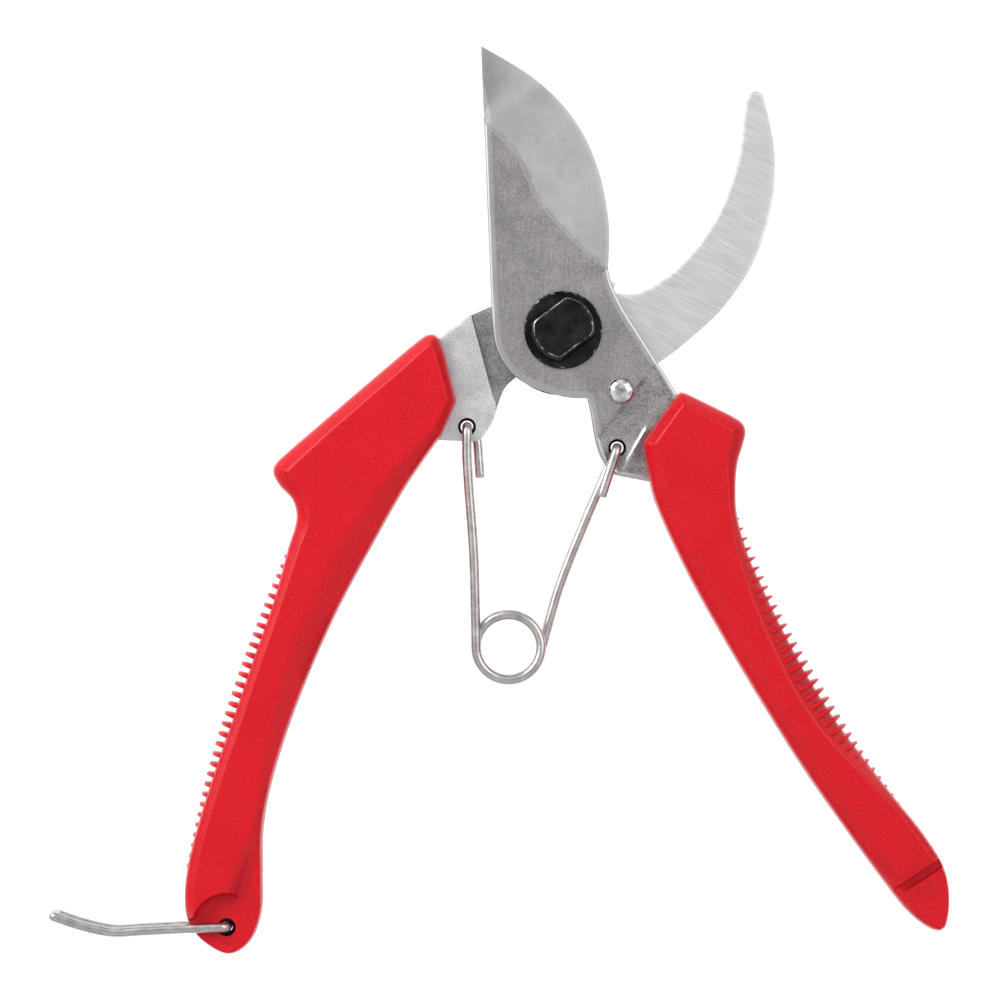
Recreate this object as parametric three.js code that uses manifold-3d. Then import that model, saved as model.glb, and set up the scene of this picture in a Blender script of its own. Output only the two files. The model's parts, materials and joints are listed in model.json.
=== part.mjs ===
// Bypass pruning shears, lying flat with the handles open.
// Millimetres, +Z up. The origin is on the pivot axis, on the end face of the pivot bolt, which is
// level with the backs of the grips. +Y points up the blades and +X towards the hook.
import * as THREE from 'three';
import { mergeVertices } from 'three/addons/utils/BufferGeometryUtils.js';
import Module from 'manifold-3d';

const wasm = await Module();
wasm.setup();

// ---------------------------------------------------------------- driving dimensions

const GAP = 0.3; // between pieces that touch
const GRIP_THICKNESS = 15;
const MID = GRIP_THICKNESS / 2; // the joint plane between the two blades

const BLADE_THICKNESS = 3.2;
const BLADE_CLEARANCE = 0.2; // between the two joint faces
const EDGE_THICKNESS = 0.4; // what the bevel leaves at the cutting edge
const TANG_THICKNESS = 4.6;

const BORE_DIAMETER = 8.4;
const BOLT_DIAMETER = 8;
const HEAD_DIAMETER = 13;
const HEAD_FLATS = 10;
const HEAD_HEIGHT = 3.9;
const HEAD_TURN = 37; // degrees from +X to the flats of the bolt head
const WASHER_DIAMETER = 15.5;
const WASHER_THICKNESS = 1.1;
const REAR_WASHER_THICKNESS = 0.8;
const NUT_ACROSS_FLATS = 13;
const NUT_BOTTOM = 0.4;
const STACK_GAP = 0.1; // between the faces of the washers, the nut, the bolt head and the blades

const STOP = [11.6, -12.1]; // centre of the stop rivet
const STOP_SHANK = 3.2;
const STOP_HEAD = 5.3;
const STOP_HEAD_RISE = 1.5;

const SPRING_WIRE = 1.95;
const SPRING_BEND = 1.4;
const SPRING_HOLE = 3.6;
const LEFT_HOLE = [-19.2, -19.3];
const RIGHT_HOLE = [10.8, -23.5];
const COIL_CENTRE = [-10.9, -63.3];
const COIL_RADIUS = 6.5; // to the middle of the wire
const COIL_EXTRA_TURNS = 3; // whole turns besides the part turn between the legs
const SPRING_REACH = 3.6; // from the joint plane to the middle of each leg
const LEFT_LEG = [[-18.8, -31.9], [-17.8, -46]]; // what each leg bows through in plan
const RIGHT_LEG = [[5.4, -35.9], [0.5, -47.9]];
const LEFT_HOOK = [[-16.6, -29.5], [-17.2, -21.4]]; // the hooked ends in plan, from their tips
const RIGHT_HOOK = [[7.6, -33.3]];

const CATCH_PIVOT = [-67.1, -119.1];
const CATCH_HOLE = 3.6;
const CATCH_WIRE = 1.9;
const CATCH_BEND = 1.6;
const CATCH_REACH = 5.7; // from the joint plane to the middle of each leg
const CATCH_END = 2.4; // from the joint plane to each end of the wire, inside the hole
const CATCH_TAB = 9; // thickness of the grip's end around the hole
const CATCH_SCOOP = 13; // diameter of the scoop around the hole
// One leg in plan, from the catch pivot.
const CATCH_LEG = [[0, 0], [-17, -0.7], [-23, -1], [-28.8, 0.3], [-34.5, 2.2]];

const CLOSED_TURN = 52; // degrees that the hook half turns to close the blades
const CATCH_TURN = 172; // degrees that the catch wire turns to lock the closed handles

const GRIP_BEVEL = 1.2;
const RIB_COUNT = 33;
const RIB_THICKNESS = 1.1;
const RIB_HEIGHT = 9.6;
const LEFT_RIB_LENGTH = 4;
const RIGHT_RIB_LENGTH = 5;
const TIP_DISTANCE = 126.5; // from the pivot axis to where the right grip's thin tip begins
const TIP_DIRECTION = -57;
const TIP_THICKNESS = 11.8;

const WIRE_STEP = 1.5; // length of the straight pieces that a bent wire is made of

// ---------------------------------------------------------------- shapes and solids

const pairsToPoints = (pairs) => pairs.map(([x, y]) => new THREE.Vector2(x, y));

const polygon = (pairs) => new THREE.Shape(pairsToPoints(pairs));

// A point at a distance and a direction in degrees from the pivot axis.
const polar = (radius, degrees) => {
  const angle = THREE.MathUtils.degToRad(degrees);
  return [radius * Math.cos(angle), radius * Math.sin(angle)];
};

function solidOf(geometry) {
  const bare = geometry.clone();
  bare.deleteAttribute('normal');
  bare.deleteAttribute('uv');
  const merged = mergeVertices(bare, 1e-4);
  return new wasm.Manifold(
    new wasm.Mesh({
      numProp: 3,
      vertProperties: merged.attributes.position.array,
      triVerts: new Uint32Array(merged.index.array),
    }),
  );
}

function geometryOf(solid) {
  const mesh = solid.getMesh();
  const geometry = new THREE.BufferGeometry();
  const positions = new THREE.BufferAttribute(mesh.vertProperties, 3);
  geometry.setAttribute('position', positions);
  geometry.setIndex(new THREE.BufferAttribute(mesh.triVerts, 1));
  return geometry;
}

// A shape in plan, extruded between two levels.
function prism(shape, bottom, top, curveSegments = 3) {
  const options = { depth: top - bottom, bevelEnabled: false, curveSegments };
  const geometry = new THREE.ExtrudeGeometry(shape, options);
  return solidOf(geometry.translate(0, 0, bottom));
}

function disc([x, y], diameter, bottom, top, sides = 24) {
  const geometry = new THREE.CylinderGeometry(diameter / 2, diameter / 2, top - bottom, sides);
  geometry.rotateX(Math.PI / 2);
  return solidOf(geometry.translate(x, y, (bottom + top) / 2));
}

// The half-space beyond a straight line in plan, as a large block. The line is given as its
// distance from the pivot axis and the direction in degrees that it is square to.
function beyond([distance, degrees], bottom, top) {
  const side = 400;
  const geometry = new THREE.BoxGeometry(side, side, top - bottom);
  geometry.translate(distance + side / 2, 0, (bottom + top) / 2);
  return solidOf(geometry.rotateZ(THREE.MathUtils.degToRad(degrees)));
}

// The half-space on the other side of such a line.
const before = ([distance, degrees], bottom, top) =>
  beyond([-distance, degrees + 180], bottom, top);

// A bar in plan along a centre line, with a half width at each end.
function taperedBar(pairs, startHalf, endHalf, grow = 0) {
  const centre = pairsToPoints(pairs);
  const last = centre.length - 1;
  const left = [];
  const right = [];
  centre.forEach((point, i) => {
    const before = centre[Math.max(i - 1, 0)];
    const after = centre[Math.min(i + 1, last)];
    const along = after.clone().sub(before).normalize();
    const across = new THREE.Vector2(-along.y, along.x);
    const half = THREE.MathUtils.lerp(startHalf, endHalf, i / last) + grow;
    const end = point.clone();
    if (i === last) end.addScaledVector(along, grow);
    left.push(end.clone().addScaledVector(across, half));
    right.unshift(end.clone().addScaledVector(across, -half));
  });
  return new THREE.Shape([...left, ...right]);
}

// A round wire along a path.
function wire(path, diameter) {
  const section = new THREE.Shape().absarc(0, 0, diameter / 2, 0, 2 * Math.PI);
  const steps = Math.round(path.getLength() / WIRE_STEP);
  const options = { steps, curveSegments: 4, extrudePath: path };
  return solidOf(new THREE.ExtrudeGeometry(section, options));
}

// Straight lines through the corners, each corner turned on a bend.
function bentPath(corners, bend) {
  const path = new THREE.CurvePath();
  let from = corners[0];
  for (let i = 1; i < corners.length - 1; i += 1) {
    const corner = corners[i];
    const toward = from.clone().sub(corner).normalize();
    const away = corners[i + 1].clone().sub(corner).normalize();
    const start = corner.clone().addScaledVector(toward, bend);
    const end = corner.clone().addScaledVector(away, bend);
    path.add(new THREE.LineCurve3(from, start));
    path.add(new THREE.QuadraticBezierCurve3(start, corner, end));
    from = end;
  }
  path.add(new THREE.LineCurve3(from, corners[corners.length - 1]));
  return path;
}

// ---------------------------------------------------------------- tangs

// Centre lines of the tongues that run inside the grips.
const LEFT_TONGUE = [[-22, -10.5], [-33, -17], [-42, -30], [-47, -44], [-52, -56], [-60, -78]];
const RIGHT_TONGUE = [[19.2, -16.6], [23.6, -24], [27.4, -34], [31, -45], [36.5, -57], [47.5, -77]];
const TONGUE_HALF_WIDTHS = [4.2, 2.8];

const TANG_BOTTOM = MID - TANG_THICKNESS / 2;
const TANG_TOP = MID + TANG_THICKNESS / 2;
const FRONT_FACE = MID + BLADE_CLEARANCE / 2 + BLADE_THICKNESS;
const FRONT_JOINT = MID + BLADE_CLEARANCE / 2;
const BACK_JOINT = MID - BLADE_CLEARANCE / 2;
const BACK_FACE = MID - BLADE_CLEARANCE / 2 - BLADE_THICKNESS;

const tongue = (line) => prism(taperedBar(line, ...TONGUE_HALF_WIDTHS), TANG_BOTTOM, TANG_TOP);

const tonguePocket = (line) =>
  prism(taperedBar(line, ...TONGUE_HALF_WIDTHS, GAP), TANG_BOTTOM - GAP, TANG_TOP + GAP);

const springHole = (centre) => disc(centre, SPRING_HOLE, 0, GRIP_THICKNESS, 16);

// ---------------------------------------------------------------- cutting blade

// The cutting edge is close to an arc of a circle; the bevel is a shallow cone round its centre.
const EDGE_CENTRE = [-35.8, 17];
const EDGE_RADIUS = 45.3;
const BEVEL_INNER_RADIUS = 29.5;
const BEVEL_OUTER_RADIUS = 51.3;
const HEEL_DISTANCE = 16.7; // from the pivot axis to the line where the bevel runs out
const HEEL_DIRECTION = 52;
const HEEL_SLOPE = 35;
const RIGHT_FRONT_STEP = [19.4, -37.7]; // distance and direction of the front face's step down
const RIGHT_BACK_STEP = [21.2, -45]; // and of the back face's step to the tang

function cuttingOutline() {
  return new THREE.Shape()
    .moveTo(-16.4, 56.9)
    .splineThru(pairsToPoints([[-5.4, 50.1], [2.3, 42.1], [6.9, 32.7], [9.1, 22], [9, 12.1]]))
    .lineTo(22.5, -12.3)
    .lineTo(15.4, -22.4)
    .lineTo(17, -30.2)
    .lineTo(10.4, -28.9)
    .splineThru(pairsToPoints([[8, -26.3], [6.5, -22.4], [5.4, -16.2], [4.8, -13.6]]))
    .splineThru(pairsToPoints([[-0.6, -13.1], [-9, -9.7], [-13.4, -3.6], [-14.4, 6.1]]));
}

// What the grinding takes off: a cone down to the cutting edge, kept above a sloping heel.
function bevelCut() {
  const edge = FRONT_JOINT + EDGE_THICKNESS;
  const rise = (FRONT_FACE - edge) / (EDGE_RADIUS - BEVEL_INNER_RADIUS);
  const profile = pairsToPoints([
    [BEVEL_INNER_RADIUS, FRONT_FACE],
    [BEVEL_OUTER_RADIUS, edge - rise * (BEVEL_OUTER_RADIUS - EDGE_RADIUS)],
    [BEVEL_OUTER_RADIUS, FRONT_FACE + 1],
    [BEVEL_INNER_RADIUS, FRONT_FACE + 1],
    [BEVEL_INNER_RADIUS, FRONT_FACE],
  ]);
  const cone = new THREE.LatheGeometry(profile, 72);
  cone.rotateX(Math.PI / 2);
  cone.translate(...EDGE_CENTRE, 0);

  const side = 200;
  const slope = new THREE.BoxGeometry(side, side, side);
  slope.translate(side / 2, 0, side / 2);
  slope.rotateY(THREE.MathUtils.degToRad(HEEL_SLOPE));
  slope.translate(HEEL_DISTANCE, 0, FRONT_FACE);
  slope.rotateZ(THREE.MathUtils.degToRad(HEEL_DIRECTION));
  return solidOf(cone).intersect(solidOf(slope));
}

function cuttingBlade() {
  return prism(cuttingOutline(), TANG_BOTTOM, FRONT_FACE, 4)
    .subtract(before(RIGHT_BACK_STEP, 0, FRONT_JOINT))
    .subtract(beyond(RIGHT_FRONT_STEP, TANG_TOP, GRIP_THICKNESS))
    .add(tongue(RIGHT_TONGUE))
    .subtract(bevelCut())
    .subtract(disc([0, 0], BORE_DIAMETER, 0, GRIP_THICKNESS, 32))
    .subtract(disc(STOP, STOP_SHANK + GAP, 0, GRIP_THICKNESS, 16))
    .subtract(springHole(RIGHT_HOLE));
}

// ---------------------------------------------------------------- hook

const BOSS_RADIUS = 13;
const STOP_FACE_DIRECTION = -39.6; // degrees; the hook's shoulder rests here on the stop rivet
const LEFT_FRONT_STEP = [16.7, 195]; // distance and direction of the front face's step up
const LEFT_BACK_STEP = [20, 195]; // and of the back face's step to the tang

function hookOutline() {
  const arcStart = THREE.MathUtils.degToRad(-135);
  const arcEnd = THREE.MathUtils.degToRad(STOP_FACE_DIRECTION);
  return new THREE.Shape()
    .moveTo(...polar(BOSS_RADIUS, -135))
    .absarc(0, 0, BOSS_RADIUS, arcStart, arcEnd, false)
    .lineTo(...polar(18, STOP_FACE_DIRECTION))
    .lineTo(18.4, -7)
    .lineTo(22.8, -3.9)
    .splineThru(pairsToPoints([[31.6, 4.1], [38.3, 14], [42.2, 26.1], [42.8, 36], [40.8, 46.1]]))
    .splineThru(pairsToPoints([[39.6, 47.6], [37.8, 47.8], [36.5, 45.2]]))
    .splineThru(pairsToPoints([[35, 34.1], [30.4, 22.1], [23, 12.6], [15.4, 7.6], [10.7, 7.5]]))
    .lineTo(9.7, 8.2)
    .splineThru(pairsToPoints([[10, 9.6], [8.9, 11.4]]))
    .lineTo(...polar(BOSS_RADIUS, 62))
    .lineTo(...polar(BOSS_RADIUS, 90))
    .lineTo(...polar(BOSS_RADIUS, 120))
    .lineTo(-14.2, 4.9)
    .lineTo(-19.2, 2.7)
    .lineTo(-24.1, -0.9)
    .lineTo(-20.8, -14.1)
    .lineTo(-24.1, -21.9)
    .lineTo(-18.6, -22.2)
    .splineThru(pairsToPoints([[-16.4, -21.6], [-14, -18], [-12.7, -13.9], [-11.4, -11.2]]));
}

function counterBlade() {
  return prism(hookOutline(), BACK_FACE, TANG_TOP, 4)
    .subtract(before(LEFT_FRONT_STEP, BACK_JOINT, GRIP_THICKNESS))
    .subtract(beyond(LEFT_BACK_STEP, 0, TANG_BOTTOM))
    .add(tongue(LEFT_TONGUE))
    .subtract(disc([0, 0], BORE_DIAMETER, 0, GRIP_THICKNESS, 32))
    .subtract(springHole(LEFT_HOLE));
}

// ---------------------------------------------------------------- pivot and stop

const FRONT_WASHER_BOTTOM = FRONT_FACE + STACK_GAP;
const FRONT_WASHER_TOP = FRONT_WASHER_BOTTOM + WASHER_THICKNESS;
const REAR_WASHER_TOP = BACK_FACE - STACK_GAP;
const REAR_WASHER_BOTTOM = REAR_WASHER_TOP - REAR_WASHER_THICKNESS;

function pivotBolt() {
  const bottom = FRONT_WASHER_TOP + STACK_GAP;
  const top = bottom + HEAD_HEIGHT;
  const flats = new THREE.BoxGeometry(HEAD_DIAMETER + 1, HEAD_FLATS, HEAD_HEIGHT + 1);
  flats.translate(0, 0, (bottom + top) / 2);
  flats.rotateZ(THREE.MathUtils.degToRad(HEAD_TURN));
  const head = disc([0, 0], HEAD_DIAMETER, bottom, top, 36).intersect(solidOf(flats));
  return head.add(disc([0, 0], BOLT_DIAMETER, 0, bottom + 1, 32));
}

function washer(bottom, top) {
  const ring = disc([0, 0], WASHER_DIAMETER, bottom, top, 36);
  return ring.subtract(disc([0, 0], BORE_DIAMETER, 0, GRIP_THICKNESS, 32));
}

function pivotNut() {
  const acrossCorners = NUT_ACROSS_FLATS / Math.cos(Math.PI / 6);
  const top = REAR_WASHER_BOTTOM - STACK_GAP;
  const hexagon = disc([0, 0], acrossCorners, NUT_BOTTOM, top, 6);
  return hexagon.subtract(disc([0, 0], BORE_DIAMETER, -1, GRIP_THICKNESS, 32));
}

function stopRivet() {
  const radius = STOP_HEAD / 2;
  const profile = [new THREE.Vector2(0, 0)];
  for (let i = 0; i <= 4; i += 1) {
    const angle = (i / 4) * (Math.PI / 2);
    profile.push(new THREE.Vector2(radius * Math.cos(angle), STOP_HEAD_RISE * Math.sin(angle)));
  }
  profile[profile.length - 1].x = 0;
  const dome = new THREE.LatheGeometry(profile, 20);
  dome.rotateX(Math.PI / 2);
  dome.translate(...STOP, FRONT_FACE + STACK_GAP);
  return solidOf(dome).add(disc(STOP, STOP_SHANK, BACK_FACE, FRONT_FACE + 0.5, 16));
}

// ---------------------------------------------------------------- return spring

class CoilCurve extends THREE.Curve {
  constructor(startAngle, endAngle, startLevel, endLevel) {
    super();
    Object.assign(this, { startAngle, endAngle, startLevel, endLevel });
  }

  getPoint(t, target = new THREE.Vector3()) {
    const angle = THREE.MathUtils.lerp(this.startAngle, this.endAngle, t);
    return target.set(
      COIL_CENTRE[0] + COIL_RADIUS * Math.cos(angle),
      COIL_CENTRE[1] + COIL_RADIUS * Math.sin(angle),
      THREE.MathUtils.lerp(this.startLevel, this.endLevel, t),
    );
  }
}

// The angle on the coil where a straight line from a point in plan meets it, on the given side.
function legAngle([x, y], side) {
  const dx = x - COIL_CENTRE[0];
  const dy = y - COIL_CENTRE[1];
  return Math.atan2(dy, dx) + side * Math.acos(COIL_RADIUS / Math.hypot(dx, dy));
}

const LEFT_ANGLE = legAngle(LEFT_LEG[1], 1);
const RIGHT_ANGLE = legAngle(RIGHT_LEG[1], -1) + 2 * Math.PI * (COIL_EXTRA_TURNS + 1);
const FRONT_LEVEL = MID + SPRING_REACH;
const BACK_LEVEL = MID - SPRING_REACH;

// The hooked end, the leg, then its half of the coil up to a gap at the middle turn.
function springHalf(hook, hole, leg, angle, level) {
  const middle = (LEFT_ANGLE + RIGHT_ANGLE) / 2;
  const gapAngle = GAP / 2 / COIL_RADIUS;
  const towardMiddle = Math.sign(middle - angle);
  const coil = new CoilCurve(
    angle,
    middle - towardMiddle * gapAngle,
    level,
    THREE.MathUtils.lerp(level, MID, 1 - gapAngle / Math.abs(middle - angle)),
  );
  const hookLevel = 2 * MID - level;
  const corners = [
    ...[...hook, hole].map(([x, y]) => new THREE.Vector3(x, y, hookLevel)),
    ...[hole, ...leg].map(([x, y]) => new THREE.Vector3(x, y, level)),
    coil.getPoint(0),
  ];
  const path = bentPath(corners, SPRING_BEND);
  path.add(coil);
  return wire(path, SPRING_WIRE);
}

// ---------------------------------------------------------------- grips

const LEFT_RIB_TIPS = [[-54.8, -43.1], [-59.4, -53.9], [-65.3, -69.7], [-71, -87.9], [-75.2, -106.9]];
const RIGHT_RIB_TIPS = [[35.2, -37.5], [41.8, -52.9], [49.2, -66.6], [58.6, -82], [68.4, -96.1]];

function leftGripOutline() {
  return new THREE.Shape()
    .moveTo(-24.4, -1.7)
    .lineTo(-21.2, -14.1)
    .lineTo(-24.4, -21.3)
    .splineThru(pairsToPoints([[-38.6, -43.9], [-50.4, -67.9], [-58.4, -91.2], [-60, -107.9]]))
    .splineThru(pairsToPoints([[-60.4, -117], [-62.8, -122.6], [-67.4, -124.7], [-72.4, -121.9]]))
    .splineThru(pairsToPoints([[-75.6, -114], [-74.6, -105.9], [-69.3, -88.6], [-61.8, -65.3]]))
    .splineThru(pairsToPoints([[-54.2, -42.3], [-53.3, -36.6], [-56.9, -30.9], [-57.2, -26.4]]))
    .splineThru(pairsToPoints([[-43, -13.9], [-28, -1.7]]))
    .splineThru(pairsToPoints([[-26.2, -0.9]]));
}

function rightGripOutline() {
  return new THREE.Shape()
    .moveTo(23.1, -12.3)
    .lineTo(33, -17.2)
    .splineThru(pairsToPoints([[36.6, -21], [34.7, -30.6], [35.4, -39.4], [39.9, -51.8]]))
    .splineThru(pairsToPoints([[48.2, -69.6]]))
    .splineThru(pairsToPoints([[57.6, -82.5], [68.4, -96.3], [75.3, -105.9]]))
    .splineThru(pairsToPoints([[77.2, -114.6], [75.4, -119.9], [70, -117.2]]))
    .splineThru(pairsToPoints([[56.6, -99.9], [40.6, -75.9], [26.6, -51.9], [17.4, -29.9]]))
    .lineTo(15.8, -22.5);
}

function roundedSlab(outline) {
  const geometry = new THREE.ExtrudeGeometry(outline, {
    depth: GRIP_THICKNESS - 2 * GRIP_BEVEL,
    bevelThickness: GRIP_BEVEL,
    bevelSize: GRIP_BEVEL,
    bevelOffset: -GRIP_BEVEL,
    bevelSegments: 2,
    curveSegments: 3,
  });
  return solidOf(geometry.translate(0, 0, GRIP_BEVEL));
}

// Short ribs square to a line through their tips, on the side away from the hand gap.
function ribs(tips, length, inward) {
  const line = new THREE.SplineCurve(pairsToPoints(tips));
  const comb = [];
  for (let i = 0; i < RIB_COUNT; i += 1) {
    const place = i / (RIB_COUNT - 1);
    const tip = line.getPointAt(place);
    const along = line.getTangentAt(place);
    const rib = new THREE.BoxGeometry(length, RIB_THICKNESS, RIB_HEIGHT);
    rib.translate((inward * length) / 2, 0, MID);
    rib.rotateZ(Math.atan2(-along.x, along.y) + (along.y < 0 ? Math.PI : 0));
    comb.push(solidOf(rib.translate(tip.x, tip.y, 0)));
  }
  return comb.reduce((joined, rib) => joined.add(rib));
}

// Both faces of a grip cut back, over a plan shape, to a thinner slab about the joint plane.
function thinned(solid, area, thickness) {
  const low = MID - thickness / 2;
  return solid.subtract(area(-1, low)).subtract(area(GRIP_THICKNESS - low, GRIP_THICKNESS + 1));
}

// Around the catch hole: a round scoop, open towards the end of the handle.
function catchScoop(bottom, top) {
  const end = polygon([[-90, -118.6], [-67, -117.4], [-50, -117], [-50, -135], [-90, -135]]);
  return disc(CATCH_PIVOT, CATCH_SCOOP, bottom, top, 24).add(prism(end, bottom, top));
}

// Where a leg of the catch wire lies when it holds the handles shut.
function catchGroove(bottom, top) {
  const pivot = new THREE.Vector2(...CATCH_PIVOT);
  const line = CATCH_LEG.map(([x, y]) =>
    new THREE.Vector2(x, y)
      .rotateAround(new THREE.Vector2(), THREE.MathUtils.degToRad(CATCH_TURN))
      .add(pivot)
      .rotateAround(new THREE.Vector2(), THREE.MathUtils.degToRad(CLOSED_TURN))
      .toArray(),
  );
  const half = CATCH_WIRE / 2 + GAP;
  return prism(taperedBar(line, half, half), bottom, top);
}

const handleTip = (bottom, top) => beyond([TIP_DISTANCE, TIP_DIRECTION], bottom, top);

function leftGrip() {
  const body = roundedSlab(leftGripOutline()).add(ribs(LEFT_RIB_TIPS, LEFT_RIB_LENGTH, 1));
  return thinned(body, catchScoop, CATCH_TAB)
    .subtract(tonguePocket(LEFT_TONGUE))
    .subtract(disc(CATCH_PIVOT, CATCH_HOLE, 0, GRIP_THICKNESS, 16));
}

function rightGrip() {
  const body = roundedSlab(rightGripOutline()).add(ribs(RIGHT_RIB_TIPS, RIGHT_RIB_LENGTH, -1));
  const thinTip = thinned(body, handleTip, TIP_THICKNESS);
  return thinned(thinTip, catchGroove, CATCH_TAB).subtract(tonguePocket(RIGHT_TONGUE));
}

// ---------------------------------------------------------------- catch wire

function catchWire() {
  const [x, y] = CATCH_PIVOT;
  const bail = [];
  for (const side of [1, -1]) {
    const leg = CATCH_LEG.map(
      ([dx, dy]) => new THREE.Vector3(x + dx, y + dy, MID + side * CATCH_REACH),
    );
    leg.unshift(new THREE.Vector3(x, y, MID + side * CATCH_END));
    bail.push(...(side > 0 ? leg : leg.reverse()));
  }
  return wire(bentPath(bail, CATCH_BEND), CATCH_WIRE);
}

// ---------------------------------------------------------------- the shears

const finishes = {
  groundSteel: { color: 0x9a9796, roughness: 0.42, metalness: 1 },
  brushedSteel: { color: 0xc8c6c8, roughness: 0.36, metalness: 1 },
  blackOxide: { color: 0x18181a, roughness: 0.35, metalness: 0.8 },
  brightSteel: { color: 0xd4d4d4, roughness: 0.12, metalness: 1 },
  springSteel: { color: 0xb0aeac, roughness: 0.28, metalness: 1 },
  redPlastic: { color: 0xe01e2c, roughness: 0.38, metalness: 0 },
};

const shears = new THREE.Group();

function addPiece(name, solid, finish) {
  const material = new THREE.MeshStandardMaterial(finishes[finish]);
  const mesh = new THREE.Mesh(geometryOf(solid), material);
  mesh.name = name;
  shears.add(mesh);
}

addPiece('cutting_blade', cuttingBlade(), 'groundSteel');
addPiece('counter_blade', counterBlade(), 'brushedSteel');
addPiece('pivot_bolt', pivotBolt(), 'blackOxide');
addPiece('front_washer', washer(FRONT_WASHER_BOTTOM, FRONT_WASHER_TOP), 'blackOxide');
addPiece('rear_washer', washer(REAR_WASHER_BOTTOM, REAR_WASHER_TOP), 'springSteel');
addPiece('pivot_nut', pivotNut(), 'blackOxide');
addPiece('stop_rivet', stopRivet(), 'brightSteel');
addPiece(
  'spring_front',
  springHalf(LEFT_HOOK, LEFT_HOLE, LEFT_LEG, LEFT_ANGLE, FRONT_LEVEL),
  'springSteel',
);
addPiece(
  'spring_back',
  springHalf(RIGHT_HOOK, RIGHT_HOLE, RIGHT_LEG, RIGHT_ANGLE, BACK_LEVEL),
  'springSteel',
);
addPiece('left_grip', leftGrip(), 'redPlastic');
addPiece('right_grip', rightGrip(), 'redPlastic');
addPiece('catch_wire', catchWire(), 'springSteel');

export default shears;
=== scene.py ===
"""Pruning shears: the looks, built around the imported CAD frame. Lengths in this file are in
millimetres in the row frame, and are turned into metres where a thing is made or placed."""
import json
import math

import bpy
import numpy as np
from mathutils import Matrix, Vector
from mathutils.geometry import delaunay_2d_cdt

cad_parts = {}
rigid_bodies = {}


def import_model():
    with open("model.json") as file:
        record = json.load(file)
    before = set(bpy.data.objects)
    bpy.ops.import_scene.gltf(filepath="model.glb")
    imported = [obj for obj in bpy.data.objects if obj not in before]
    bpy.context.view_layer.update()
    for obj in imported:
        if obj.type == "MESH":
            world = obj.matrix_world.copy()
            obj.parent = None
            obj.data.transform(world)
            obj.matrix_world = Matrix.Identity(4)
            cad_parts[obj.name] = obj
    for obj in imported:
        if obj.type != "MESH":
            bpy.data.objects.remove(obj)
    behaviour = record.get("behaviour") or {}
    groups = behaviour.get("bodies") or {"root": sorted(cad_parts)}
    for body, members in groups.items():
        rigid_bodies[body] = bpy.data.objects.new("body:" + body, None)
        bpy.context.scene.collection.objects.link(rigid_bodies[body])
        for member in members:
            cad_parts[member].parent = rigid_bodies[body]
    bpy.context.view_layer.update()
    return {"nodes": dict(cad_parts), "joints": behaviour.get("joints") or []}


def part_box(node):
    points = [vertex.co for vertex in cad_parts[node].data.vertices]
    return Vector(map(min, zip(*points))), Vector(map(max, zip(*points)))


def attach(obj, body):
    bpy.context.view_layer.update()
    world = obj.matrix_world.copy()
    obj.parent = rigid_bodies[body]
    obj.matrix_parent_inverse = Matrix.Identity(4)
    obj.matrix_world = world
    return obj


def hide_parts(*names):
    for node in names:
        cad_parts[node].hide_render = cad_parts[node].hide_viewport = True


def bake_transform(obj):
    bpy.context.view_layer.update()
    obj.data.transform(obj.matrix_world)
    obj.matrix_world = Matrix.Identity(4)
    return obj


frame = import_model()

MM = 0.001


def mm(vector):
    return np.array(vector, float) / MM


# ------------------------------------------------------------------ places taken from the frame

NODE_BOX = {name: (mm(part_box(name)[0]), mm(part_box(name)[1])) for name in frame["nodes"]}
JOINT_PLACE = {joint["name"]: mm(joint["pos_m"]) for joint in frame["joints"]}

PIVOT = JOINT_PLACE["blade_pivot"][:2]
RIGHT_HOLE = JOINT_PLACE["spring_right_hinge"][:2]
COIL_CENTRE = JOINT_PLACE["coil_hinge"][:2]
CATCH_PIVOT = JOINT_PLACE["catch_hinge"][:2]
LEFT_HOLE = np.array([-19.2, -19.3])
STOP = (NODE_BOX["stop_rivet"][0][:2] + NODE_BOX["stop_rivet"][1][:2]) / 2

GRIP_HALF = (NODE_BOX["left_grip"][1][2] - NODE_BOX["left_grip"][0][2]) / 2
MID = NODE_BOX["left_grip"][0][2] + GRIP_HALF
FRONT_FACE = NODE_BOX["cutting_blade"][1][2]
BACK_FACE = NODE_BOX["counter_blade"][0][2]
TANG_BOTTOM = NODE_BOX["cutting_blade"][0][2]
TANG_TOP = NODE_BOX["counter_blade"][1][2]
HALF_GAP = 0.1  # from the middle level to either blade's inner face
FRONT_JOINT = MID + HALF_GAP
BACK_JOINT = MID - HALF_GAP
BOLT_HOLE = 4.2  # radius
SMALL_HOLE = 1.8  # radius of the holes for the spring's hooks and the catch
LINER = 1.85  # radius of the walls that line the small holes, coloured near-black as painted shade
SPRING_WIRE = 1.95
CATCH_WIRE = 1.9


# ------------------------------------------------------------------ plan geometry

CURVE_STEP = 0.5
BATCH = 2000  # how many points are measured at a time, to save memory


def unit(vector):
    return vector / np.linalg.norm(vector)


def direction(degrees):
    return np.array([math.cos(math.radians(degrees)), math.sin(math.radians(degrees))])


def curve_through(points, step=CURVE_STEP):
    """A Catmull-Rom curve through the points, sampled about every step."""
    points = np.array(points, float)
    padded = np.vstack([points[0], points, points[-1]])
    samples = []
    for i in range(1, len(padded) - 2):
        a, b, c, d = padded[i - 1:i + 3]
        count = max(2, int(np.linalg.norm(c - b) / step))
        t = np.linspace(0, 1, count, endpoint=False)[:, None]
        samples.append(0.5 * (2 * b + (c - a) * t + (2 * a - 5 * b + 4 * c - d) * t ** 2
                              + (3 * b - a - 3 * c + d) * t ** 3))
    samples.append(points[-1:])
    return np.vstack(samples)


def trace(*runs):
    """A closed outline: a run of two points is a straight line, a longer one is a curve."""
    return np.vstack([curve_through(run)[:-1] for run in runs])


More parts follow.
